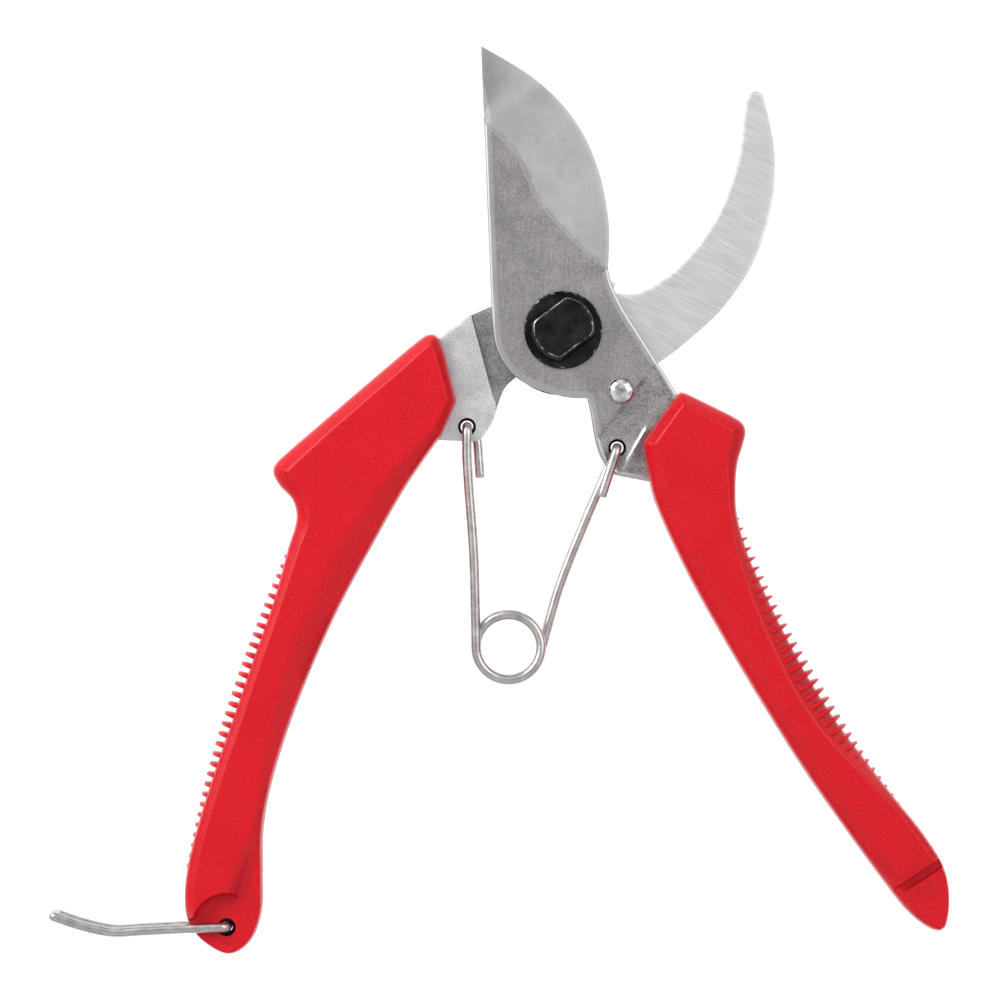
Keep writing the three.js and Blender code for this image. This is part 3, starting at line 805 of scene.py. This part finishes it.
def hook_top(flat):
    past = beyond_wall(flat)
    fillet = WALL_FOOT * np.clip(1 + past / 1.6, 0, 1) ** 2
    wall = WALL_FOOT + (TANG_TOP - BACK_JOINT - WALL_FOOT) * ramp(past, 0, 0.3)
    rise = np.where(past > 0, wall, fillet)
    to_rim = distance(flat, hook_outline())
    return BACK_JOINT + rise - 0.22 * np.clip(0.7 - to_rim, 0, None) ** 1.3


def hook_bottom(flat):
    to_rim = distance(flat, hook_outline())
    level = BACK_FACE + (TANG_BOTTOM - BACK_FACE) * ramp(beyond_wall(flat), 3.3, 4.3)
    return level + 0.3 * np.clip(0.7 - to_rim, 0, None)


def hook_zone(centres):
    def plain_zone(spots):
        return np.where(beyond_wall(spots) > WALL_MARGIN, SATIN_ZONE, BRUSHED_ZONE)

    front = plain_zone(centres)
    front[(front == BRUSHED_ZONE) & (centres[:, 0] < 0)] = ROUGH_ZONE
    return front, plain_zone(centres), plain_zone


def hook():
    outline = hook_outline()
    along = direction(WALL_DIRECTION)
    across = np.array([-along[1], along[0]])
    lines = creases(outline, 0.3, along * WALL_DISTANCE, along,
                    (-1.6, -1.0, -0.5, 0.0, 0.3, 3.3, 4.3), across, np.arange(-12, 22, 0.7))
    rings = [np.full(len(outline), ring) for ring in (0.45, 0.7)]
    holes = [circle(PIVOT, BOLT_HOLE), circle(LEFT_HOLE, SMALL_HOLE, 32)]
    plate = slab("hook_plate", outline, hook_top, hook_bottom, [BRUSHED, SATIN, FORGED],
                 hook_zone, holes, rings, lines, 1.2, 25)
    return join([plate, painted_shade_liner(LEFT_HOLE)], "hook_steel")


# ------------------------------------------------------------------ pivot, washers, rivet

HEAD_RADIUS = 6.5
HEAD_FLATS = 10
HEAD_TURN = 37
HEAD_CORNER = 1.3
HEAD_LEAN = 0.45  # how far the forged head's top face sits off its base, along +Y
SHANK = 4.0  # radius
SLIGHT_WEAR = 0.1
EDGE_WEAR = 0.95


def add_wear(piece, wear):
    attribute = piece.data.attributes.new("wear", "FLOAT", "POINT")
    attribute.data.foreach_set("value", np.array(wear, np.float32))


def arc_points(centre, radius, angles):
    return [centre + radius * np.array([math.cos(a), math.sin(a)]) for a in angles]


def bolt_head_outline(inset):
    """A round head with two flats; the corners between them are rounded."""
    arc = HEAD_RADIUS - inset - HEAD_CORNER
    meet = math.asin((HEAD_FLATS / 2 - inset - HEAD_CORNER) / arc)
    points = []
    for start in (0, math.pi):
        quarter, end = start + math.pi / 2, start + meet
        points += arc_points(0, arc + HEAD_CORNER, np.linspace(start - meet, end, 18))
        centre = arc_points(0, arc, [end])[0]
        points += arc_points(centre, HEAD_CORNER, np.linspace(end, quarter, 6)[1:])
        centre_next = centre * np.array([-1, 1])
        reach = np.array([0, math.copysign(HEAD_CORNER, centre[1])])
        points += [centre + reach + (centre_next - centre) * t
                   for t in np.linspace(0, 1, 10)[1:]]
        points += arc_points(centre_next, HEAD_CORNER,
                             np.linspace(quarter, start + math.pi - meet, 6)[1:-1])
    x, y = direction(HEAD_TURN)
    return np.array(points) @ np.array([[x, y], [-y, x]])


def pivot_bolt():
    low, high = NODE_BOX["pivot_bolt"]
    bottom = NODE_BOX["front_washer"][1][2] + 0.1
    top = high[2]
    layers = [(0.3, bottom, SLIGHT_WEAR), (0.0, bottom + 0.3, SLIGHT_WEAR),
              (0.35, top - 0.6, SLIGHT_WEAR), (0.45, top - 0.3, SLIGHT_WEAR),
              (0.6, top - 0.12, EDGE_WEAR), (0.95, top, SLIGHT_WEAR),
              (2.2, top - 0.03, SLIGHT_WEAR)]
    vertices = []
    wear = []
    for inset, level, worn in layers:
        ring = bolt_head_outline(inset)
        lean = HEAD_LEAN * (level - bottom) / (top - bottom)
        vertices += [(x, y + lean, level) for x, y in ring]
        wear += [worn] * len(ring)
    count = len(ring)
    faces = band_faces(len(layers), count)
    centre_top, centre_bottom = len(vertices), len(vertices) + 1
    vertices += [(0, HEAD_LEAN, top - 0.05), (0, 0, bottom)]
    wear += [0, 0]
    last = (len(layers) - 1) * count
    for i in range(count):
        j = (i + 1) % count
        faces.append((last + i, last + j, centre_top))
        faces.append((j, i, centre_bottom))
    head = mesh_piece("bolt_head", vertices, faces, [BLACK], 40)
    add_wear(head, wear)
    profile = [(0, low[2]), (3.4, low[2]), (SHANK, low[2] + 0.5), (SHANK, bottom + 0.5),
               (0, bottom + 0.5)]
    shank = lathe("bolt_shank", profile, PIVOT, [BLACK], 48)
    add_wear(shank, [SLIGHT_WEAR] * len(shank.data.vertices))
    return join([head, shank], "pivot_bolt_black")


def ring_profile(inner, outer, low, high, edge):
    return [(inner, low), (outer - edge, low), (outer, low + edge), (outer, high - edge),
            (outer - edge, high), (outer - 1.6 * edge, high), (inner + edge, high),
            (inner, high - edge), (inner, low)]


def washers():
    low, high = NODE_BOX["front_washer"]
    front = lathe("front_washer_black", ring_profile(BOLT_HOLE, high[0], low[2], high[2], 0.3),
                  PIVOT, [BLACK])
    edge = [math.hypot(v.co.x, v.co.y) / MM > high[0] - 0.35 and v.co.z / MM > low[2] + 0.6
            for v in front.data.vertices]
    add_wear(front, [0.62 if worn else SLIGHT_WEAR for worn in edge])
    low, high = NODE_BOX["rear_washer"]
    rear = lathe("rear_washer_steel", ring_profile(BOLT_HOLE, high[0], low[2], high[2], 0.15),
                 PIVOT, [WIRE])
    return front, rear


NUT_POINTS = 72
NUT_SIDE = math.pi / 3  # the angle that each of its six sides takes up


def pivot_nut():
    low, high = NODE_BOX["pivot_nut"]
    flats = high[0]
    corner = flats / math.cos(NUT_SIDE / 2)
    layers = [(BOLT_HOLE, low[2]), (flats - 0.3, low[2]), (corner, low[2] + 0.55),
              (corner, high[2]), (BOLT_HOLE, high[2]), (BOLT_HOLE, low[2])]
    vertices = []
    wear = []
    for radius, level in layers:
        for i in range(NUT_POINTS):
            angle = 2 * math.pi * i / NUT_POINTS
            reach = min(radius, flats / math.cos(angle % NUT_SIDE - NUT_SIDE / 2))
            vertices.append((reach * math.cos(angle), reach * math.sin(angle), level))
            wear.append(0.6 if radius == corner and reach > flats + 0.5 else 0.05)
    nut = mesh_piece("pivot_nut_black", vertices, band_faces(len(layers), NUT_POINTS), [BLACK], 30)
    add_wear(nut, wear)
    return nut


def stop_rivet():
    low, high = NODE_BOX["stop_rivet"]
    radius = (high[0] - low[0]) / 2
    base = FRONT_FACE + 0.1
    brim = base + 0.18
    dome = [(radius * math.cos(a), brim + (high[2] - brim) * math.sin(a))
            for a in np.linspace(0, math.pi / 2, 14)]
    dome[-1] = (0, high[2])
    profile = [(0, low[2]), (1.6, low[2]), (1.6, base), (radius - 0.1, base)] + dome
    return lathe("stop_rivet_bright", profile, STOP, [BRIGHT], 96, 80)


# ------------------------------------------------------------------ springs and catch

COIL_RADIUS = 6.5
COIL_TURNS = 3
COIL_STEPS = 64  # in each turn
COIL_GAP = 0.5  # how near a leg's own points may come to the coil's end
BEND = 1.5
SPRING_REACH = 3.6
LEFT_LEG = [(-19.2, -25.5), (-18.8, -31.9), (-18.2, -39.5), (-17.8, -46), (-17.6, -53)]
RIGHT_LEG = [(8.4, -29), (5.4, -35.9), (2.9, -41.9), (0.5, -47.9), (-1.6, -54)]


def leg_angle(hole, side):
    away = np.array(hole) - COIL_CENTRE
    return math.atan2(away[1], away[0]) + side * math.acos(COIL_RADIUS / np.linalg.norm(away))


def spring_leg(points, end):
    """The bowed part of a leg at the level of its end on the coil."""
    plan = curve_through([*points, end[:2]], 1.2)
    return [(x, y, end[2]) for x, y in plan]


def return_spring():
    start = leg_angle(LEFT_LEG[-1], 1)
    end = leg_angle(RIGHT_LEG[-1], -1) + 2 * math.pi * (COIL_TURNS + 1)
    front, back = MID + SPRING_REACH, MID - SPRING_REACH
    coil = []
    for t in np.linspace(0, 1, COIL_STEPS * (COIL_TURNS + 1)):
        angle = start + (end - start) * t
        spot = arc_points(COIL_CENTRE, COIL_RADIUS, [angle])[0]
        coil.append(np.array([*spot, front + (back - front) * t]))
    left = bent_path([(-16.6, -29.5, back), (-17.2, -21.4, back), (*LEFT_HOLE, back),
                      (*LEFT_HOLE, front), *spring_leg(LEFT_LEG, coil[0])], BEND)
    right = bent_path([(7.6, -33.3, front), (*RIGHT_HOLE, front), (*RIGHT_HOLE, back),
                       *spring_leg(RIGHT_LEG, coil[-1])], BEND)
    left = [p for p in left if np.linalg.norm(p - coil[0]) > COIL_GAP]
    right = [p for p in right if np.linalg.norm(p - coil[-1]) > COIL_GAP]
    return tube("return_spring_wire", left + coil + right[::-1], SPRING_WIRE / 2, [WIRE])


CATCH_LEG = [(-3, -0.05), (-10, -0.3), (-17, -0.65), (-22.9, -0.9), (-28.8, 0.3), (-34.5, 2.2)]
CATCH_REACH = 5.7  # from the middle level to either leg
CATCH_END = 2.4  # from the middle level to where the wire ends inside the grip


def catch_wire():
    x, y = CATCH_PIVOT
    leg = curve_through(CATCH_LEG, 0.8)
    front, back = MID + CATCH_REACH, MID - CATCH_REACH
    corners = [(x, y, MID + CATCH_END), (x, y, front)]
    corners += [(x + dx, y + dy, front) for dx, dy in leg]
    corners += [(x + dx, y + dy, back) for dx, dy in leg[::-1]]
    corners += [(x, y, back), (x, y, MID - CATCH_END)]
    return tube("catch_wire_steel", bent_path(corners, 1.6), CATCH_WIRE / 2, [WIRE])


# ------------------------------------------------------------------ grips

EDGE_ROUND = 0.5  # how far in from the outline a grip's outermost rounding reaches
CREASE = 0.16  # how far the crease between facet and face is softened, as a share of the facet
CATCH_FLOOR = 4.45  # half the thickness left around the catch hole
GROOVE_FLOOR = 5.3  # half the thickness left under the groove


def left_grip_outline():
    return trace(
        [(-24.6, -1.9), (-23.6, -4.5)],
        [(-23.6, -4.5), (-21.4, -13.4)],
        [(-21.4, -13.4), (-21.2, -14.1), (-21.5, -14.9)],
        [(-21.5, -14.9), (-24.4, -21.3)],
        [(-24.4, -21.3), (-26.4, -23.9), (-31.8, -31.9), (-38.6, -43.9), (-45, -55.9),
         (-50.4, -67.9), (-55, -79.9), (-58.4, -91.2), (-59.9, -99.9), (-60, -107.9),
         (-60.2, -115.9), (-62.4, -121.9), (-66.8, -124.6), (-72, -122), (-74.9, -118),
         (-75.6, -113.5), (-75, -107), (-72.9, -98.5), (-69.3, -87), (-65.3, -75.5),
         (-61.9, -65.5), (-58, -54.4), (-54.9, -43.4), (-53.6, -39.3), (-53.3, -36.6),
         (-54.2, -33.7), (-56.6, -31.1), (-57.9, -28.6), (-57.4, -26.6), (-54.6, -23.9),
         (-49.6, -19.6),
         (-43, -13.9), (-33.6, -5.9), (-29.4, -2.4), (-27.2, -0.9), (-25.5, -0.9), (-24.6, -1.9)],
    )


def right_grip_outline():
    return trace(
        [(22.3, -13.4), (23.2, -12.5), (24.4, -12.5), (29.6, -15), (33.6, -17), (35.8, -18.5),
         (36.5, -20.4), (35.9, -23), (34.9, -26.5), (34.5, -31), (34.8, -37), (36.9, -44.5),
         (40.4, -52.5), (44, -60), (48.6, -68.6), (54.1, -77.4), (60.2, -85.6), (66.4, -93.6),
         (71.4, -99.8), (75.4, -105.9), (76.9, -110.5), (77.1, -115.4), (76.3, -119.2),
         (74.7, -119.9), (72, -118.7), (68.4, -115.6), (64, -110), (56.6, -99.9), (48.2, -87.9),
         (40.6, -75.9), (33.4, -63.9), (26.6, -51.9), (21.6, -41.9), (18.2, -33.9),
         (17, -29)],
        [(17, -29), (16, -23.4)],
        [(16, -23.4), (15.9, -22.5), (16.3, -21.8)],
        [(16.3, -21.8), (22.3, -13.4)],
    )


def around(outline, anchors):
    """Values for every outline point, from a few (place, value, value) anchors around it."""
    places = np.array([np.linalg.norm(outline - spot, axis=1).argmin() for spot, *_ in anchors])
    order = np.argsort(places)
    values = np.array([anchors[i][1:] for i in order])
    count = len(outline)
    spread = np.concatenate([places[order] + shift for shift in (-count, 0, count)])
    return [np.interp(np.arange(count), spread, np.tile(column, 3)) for column in values.T]


def grip_section(flat, outline, width, shoulder):
    """Half the grip's height: a rounded edge up to the shoulder, then a facet that rises to the
    flat face over the width, with a soft crease between the two."""
    gap, where = nearest(flat, outline)
    low = shoulder[where]
    share = gap / width[where]
    crease = np.clip(share - 1 + CREASE, 0, 2 * CREASE)
    rise = np.minimum(share, 1 + CREASE) - crease ** 2 / (4 * CREASE)
    edge = np.clip(1 - gap / EDGE_ROUND, 0, 1)
    return (low + (GRIP_HALF - low) * rise) * np.sqrt(1 - edge ** 2)


def grip_rings(width):
    rounding = [np.full(len(width), EDGE_ROUND * (1 - math.cos(math.radians(a))))
                for a in (7, 16, 28, 42, 58, 74, 90)]
    shares = (0.5, 1 - CREASE, 1 - CREASE / 2, 1, 1 + CREASE / 2, 1 + CREASE)
    facet = [np.maximum(width * share, EDGE_ROUND + 0.1 * share) for share in shares]
    return rounding + facet


RIB_COUNT = 33
RIB_HALF = 0.48
RIB_SHARES = (0, 0.05, 0.12, 0.22, 0.4, 0.7, 1)  # where a rib has a row of points, from its tip
RIB_NARROWING = 0.4  # the share over which a rib narrows to its tip
RIB_FALL = 0.85
RIDGE_RISE = 0.35  # how far the ridge stands above the rib's sides


def ribs(name, tips, depth, half_height, inward, tip_half):
    """A comb of moulded ribs that stand out of a grip's side. Each has a ridge along its top and
    narrows to its tip."""
    line = curve_through(tips, 0.3)
    length = np.concatenate([[0], np.cumsum(np.linalg.norm(np.diff(line, axis=0), axis=1))])
    vertices = []
    faces = []
    for run in np.linspace(0.01, length[-1] - 0.01, RIB_COUNT):
        before, tip, ahead = (np.array([np.interp(p, length, line[:, k]) for k in (0, 1)])
                              for p in (run - 0.5, run, run + 0.5))
        along = unit(ahead - before)
        across = inward * np.array([-along[1], along[0]])
        start = len(vertices)
        for share in RIB_SHARES:
            half = tip_half + (RIB_HALF - tip_half) * min(share / RIB_NARROWING, 1)
            high = half_height * math.sqrt(1 - (1 - share) ** 3 * RIB_FALL)
            low = high - RIDGE_RISE
            corners = [(-half, low), (0, high), (half, low), (half, -low), (0, -high), (-half, -low)]
            for side, level in corners:
                spot = tip + across * depth * share + along * side
                vertices.append((*spot, MID + level))
        for face in band_faces(len(RIB_SHARES), 6):
            a, b, c, d = (start + i for i in face)
            faces.append((a, b, c, d)[::inward])
        last = len(vertices) - 6
        faces.append(tuple(range(start, start + 6))[::-inward])
        faces.append(tuple(range(last, last + 6))[::inward])
    return mesh_piece(name, vertices, faces, [RED], 25)


LEFT_RIB_TIPS = [(-54.8, -43.1), (-59.4, -53.9), (-65.3, -69.7), (-71, -87.9), (-75.2, -106.9)]
RIGHT_RIB_TIPS = [(35.2, -37.5), (41.8, -52.9), (49.2, -66.6), (58.6, -82), (68.4, -96.1)]

# Around each grip: a place on its outline, the facet's width there, and the shoulder's height.
LEFT_FACETS = [
    ((-25.5, -0.9), 2.0, 5.0), ((-21.2, -14.1), 1.6, 5.4), ((-24.4, -21.3), 2.2, 5.8),
    ((-31.8, -31.9), 4.2, 5.6), ((-38.6, -43.9), 5.8, 5.0), ((-50.4, -67.9), 5.0, 5.1),
    ((-55.0, -79.9), 3.2, 6.2), ((-59.2, -95.0), 1.6, 6.4), ((-60.0, -104.0), 2.6, 5.8),
    ((-60.2, -113.0), 6.0, 5.0), ((-62.4, -121.9), 1.8, 4.0), ((-72.0, -122.0), 1.6, 4.0),
    ((-75.4, -112.0), 2.0, 6.0), ((-69.3, -87.0), 2.0, 6.2), ((-58.0, -54.4), 1.8, 6.2),
    ((-53.3, -36.6), 2.6, 5.4), ((-57.9, -28.6), 3.0, 4.6), ((-49.6, -19.6), 2.5, 4.6),
    ((-33.6, -5.9), 2.4, 4.6),
]
RIGHT_FACETS = [
    ((22.3, -13.4), 2.2, 4.8), ((29.6, -15.0), 2.4, 4.8), ((36.5, -20.4), 2.8, 4.8),
    ((34.5, -31.0), 1.6, 6.2), ((34.8, -37.0), 1.2, 6.0), ((40.4, -52.5), 2.8, 4.2),
    ((48.6, -68.6), 3.6, 3.4), ((54.1, -77.4), 3.4, 3.4), ((60.2, -85.6), 2.4, 4.2),
    ((66.4, -93.6), 1.3, 6.0), ((75.4, -105.9), 1.6, 6.2), ((74.7, -119.9), 1.5, 5.0),
    ((64.0, -110.0), 3.4, 4.3), ((58.0, -101.5), 3.4, 5.4), ((48.2, -87.9), 3.6, 5.2),
    ((26.6, -51.9), 4.2, 5.0), ((17.0, -29.0), 3.0, 5.6), ((16.3, -21.8), 2.2, 5.2),
]
GRIP_MARGIN = 0.35

SCOOP_RADIUS = 6.3
SCOOP_WALL = 0.7  # how far the scoop's wall leans out
SCOOP_TOP = 1.6  # how far above the catch hole the scoop's straight side is
EJECTOR_MARK = np.array([-67.2, -122.6])
MARK_RADIUS = 1.25
MARK_WALL = 0.2
MARK_DEPTH = 0.12
VALLEY_START = np.array([-67.6, -113.0])
VALLEY_SPAN = np.array([-61.0, -95.5]) - VALLEY_START
VALLEY_ALONG = unit(VALLEY_SPAN)
VALLEY_ACROSS = np.array([VALLEY_ALONG[1], -VALLEY_ALONG[0]])
VALLEY_WALL = 3.2  # how wide the slope into the valley is
RAISED_RIM = np.array([-61.0, -111.3])
RAISED_RIM_SIZE = (1.4, 3.8)


def valley_depth(flat):
    """The scoop runs out into a valley up the grip's inner side, and gets shallower on the way."""
    away = flat - VALLEY_START
    fade = np.clip(1 - away @ VALLEY_ALONG / np.linalg.norm(VALLEY_SPAN), 0, 1)
    return (GRIP_HALF - CATCH_FLOOR) * fade * ramp(away @ VALLEY_ACROSS, 0.0, VALLEY_WALL)


def grip_body(name, outline, width, half_height, holes, lines):
    return slab(name, outline, lambda flat: MID + half_height(flat),
                lambda flat: MID - half_height(flat), [RED], None, holes, grip_rings(width), lines,
                0.9, 38)


def left_grip():
    outline = left_grip_outline()
    width, shoulder = around(outline, LEFT_FACETS)

    def half_height(flat):
        height = grip_section(flat, outline, width, shoulder)
        away = np.linalg.norm(flat - CATCH_PIVOT, axis=1) - SCOOP_RADIUS
        above = flat[:, 1] - (CATCH_PIVOT[1] + SCOOP_TOP)
        floor = CATCH_FLOOR + 3.1 * ramp(np.minimum(away, above), 0.0, SCOOP_WALL)
        floor = np.minimum(floor, GRIP_HALF - valley_depth(flat))
        rim = ((flat - RAISED_RIM) / RAISED_RIM_SIZE) ** 2
        floor = floor + 0.9 * ramp(1 - rim.sum(axis=1), 0.0, 0.5)
        mark = MARK_RADIUS - np.linalg.norm(flat - EJECTOR_MARK, axis=1)
        return np.minimum(height, floor - MARK_DEPTH * ramp(mark, 0.0, MARK_WALL))

    lines = [circle(EJECTOR_MARK, radius, 28) for radius in (MARK_RADIUS, MARK_RADIUS - MARK_WALL)]
    for radius in (SCOOP_RADIUS, SCOOP_RADIUS + SCOOP_WALL / 2, SCOOP_RADIUS + SCOOP_WALL):
        arc = np.array([CATCH_PIVOT + radius * direction(a) for a in range(80, 166, 3)])
        lines.append(kept_inside(arc, outline, GRIP_MARGIN))
    lines += creases(outline, GRIP_MARGIN, VALLEY_START, VALLEY_ACROSS,
                     (0.0, VALLEY_WALL / 2, VALLEY_WALL), VALLEY_SPAN, np.linspace(0.08, 1, 25))
    body = grip_body("left_grip_body", outline, width, half_height,
                     [circle(CATCH_PIVOT, SMALL_HOLE, 40)], lines)
    comb = ribs("left_ribs", LEFT_RIB_TIPS, depth=3.4, half_height=5.6, inward=1, tip_half=0.32)
    # The catch hole's lining, coloured near-black as painted shade inside the hole.
    profile = [(LINER, MID - 4.3), (LINER, MID + 4.3), (1.6, MID + 3.6), (1.1, MID + 1.5),
               (1.1, MID - 1.5), (1.6, MID - 3.6), (LINER, MID - 4.3)]
    liner = lathe("catch_painted_shade_liner", profile, CATCH_PIVOT, [PAINTED_SHADE_BORE], 40)
    return join([body, comb, liner], "left_grip_red")


GROOVE = np.array([70.7, -109.2])  # a place on the middle of the groove for the catch wire
GROOVE_DIRECTION = -57  # square to the groove
GROOVE_REACH = 9.0  # from that place to past either end
GROOVE_RAMP = (0.65, 0.95)  # how far from its middle the groove's wall starts and ends
TIP_DISTANCE = 126.5
TIP_THINNING = 1.6  # how much lower the tip's end is than the grip's face


def right_grip():
    outline = right_grip_outline()
    width, shoulder = around(outline, RIGHT_FACETS)
    across = direction(GROOVE_DIRECTION)
    along = np.array([-across[1], across[0]])

    def half_height(flat):
        height = grip_section(flat, outline, width, shoulder)
        thin = TIP_THINNING * ramp(flat @ across - TIP_DISTANCE, 0.0, 9.0)
        off_middle = np.abs((flat - GROOVE) @ across)
        floor = GROOVE_FLOOR + 2.6 * ramp(off_middle, *GROOVE_RAMP)
        return np.minimum(np.minimum(height, GRIP_HALF - thin), floor)

    lines = creases(outline, GRIP_MARGIN, GROOVE, across, (-1.25, -0.95, -0.65, 0.65, 0.95, 1.25),
                    along, np.arange(-GROOVE_REACH, GROOVE_REACH, 0.5))
    body = grip_body("right_grip_body", outline, width, half_height, [], lines)
    comb = ribs("right_ribs", RIGHT_RIB_TIPS, depth=4.6, half_height=6.9, inward=-1, tip_half=0.12)
    return join([body, comb], "right_grip_red")


# ------------------------------------------------------------------ assembly

def place(piece, body, slot, *nodes):
    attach(piece, body)
    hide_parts(*nodes)


def build_shears():
    place(cutting_blade(), "cutting_half", "ground_steel", "cutting_blade")
    place(hook(), "hook_half", "satin_steel", "counter_blade")
    place(pivot_bolt(), "cutting_half", "black_oxide", "pivot_bolt")
    front, rear = washers()
    place(front, "cutting_half", "black_oxide", "front_washer")
    place(rear, "cutting_half", "spring_steel", "rear_washer")
    place(pivot_nut(), "cutting_half", "black_oxide", "pivot_nut")
    place(stop_rivet(), "cutting_half", "bright_steel", "stop_rivet")
    place(left_grip(), "hook_half", "red_plastic", "left_grip")
    place(right_grip(), "cutting_half", "red_plastic", "right_grip")
    place(catch_wire(), "catch", "spring_steel", "catch_wire")
    spring = return_spring()
    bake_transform(spring)
    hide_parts("spring_front", "spring_back")


# ------------------------------------------------------------------ floor, light, camera

VIEW_CENTRE = (-12.6, -33.9)
VIEW_WIDTH = 200.0
VIEW_DISTANCE = 1600.0
FLOOR_LEVEL = -100.0
FLOOR_HALF = 1500.0


def floor():
    m = Nodes("pale_floor")
    cloud = m.noise(m.place, scale=2.0, detail=2.0)
    m.link(m.mix(cloud, (0.96, 0.96, 0.96), (0.99, 0.99, 0.99)), m.shader.inputs["Base Color"])
    m.set(roughness=0.9)
    corners = [(x * FLOOR_HALF, y * FLOOR_HALF, FLOOR_LEVEL)
               for x, y in ((-1, -1), (1, -1), (1, 1), (-1, 1))]
    mesh_piece("floor", corners, [(0, 1, 2, 3)], [m.material])


def soft_light(name, place_mm, size_mm, power):
    data = bpy.data.lights.new(name, "AREA")
    data.energy = power
    data.shape = "RECTANGLE"
    data.size, data.size_y = (s * MM for s in size_mm)
    light = bpy.data.objects.new(name, data)
    light.location = Vector(place_mm) * MM
    aim = (Vector((*VIEW_CENTRE, 0)) - Vector(place_mm)).normalized()
    light.rotation_euler = aim.to_track_quat("-Z", "Y").to_euler()
    bpy.context.scene.collection.objects.link(light)


def lights():
    """A pale sky that is dimmer straight overhead and near the horizon, and two soft lamps."""
    world = bpy.data.worlds.new("studio")
    bpy.context.scene.world = world
    world.use_nodes = True
    tree = world.node_tree
    background = tree.nodes["Background"]
    towards = tree.nodes.new("ShaderNodeTexCoord")
    split = tree.nodes.new("ShaderNodeSeparateXYZ")
    tree.links.new(towards.outputs["Generated"], split.inputs["Vector"])
    overhead = map_range(tree, split.outputs["Z"], 0.55, 1.0, 0.92, 0.6)
    horizon = map_range(tree, split.outputs["Z"], 0.1, 0.4, 0.3, 1.0)
    strength = tree.nodes.new("ShaderNodeMath")
    strength.operation = "MULTIPLY"
    tree.links.new(overhead, strength.inputs[0])
    tree.links.new(horizon, strength.inputs[1])
    background.inputs["Color"].default_value = (1, 1, 1, 1)
    tree.links.new(strength.outputs["Value"], background.inputs["Strength"])
    soft_light("key", (-620, 420, 520), (600, 600), 6.5)
    soft_light("fill", (560, 260, 620), (600, 600), 2.0)
    bpy.context.scene.view_settings.view_transform = "Standard"


def camera():
    data = bpy.data.cameras.new("camera")
    data.sensor_width = 36.0
    data.lens = data.sensor_width * VIEW_DISTANCE / VIEW_WIDTH
    data.clip_start = 0.01
    view = bpy.data.objects.new("camera", data)
    view.location = Vector((*VIEW_CENTRE, MID + VIEW_DISTANCE)) * MM
    bpy.context.scene.collection.objects.link(view)
    bpy.context.scene.camera = view


camera()
lights()
floor()
build_shears()
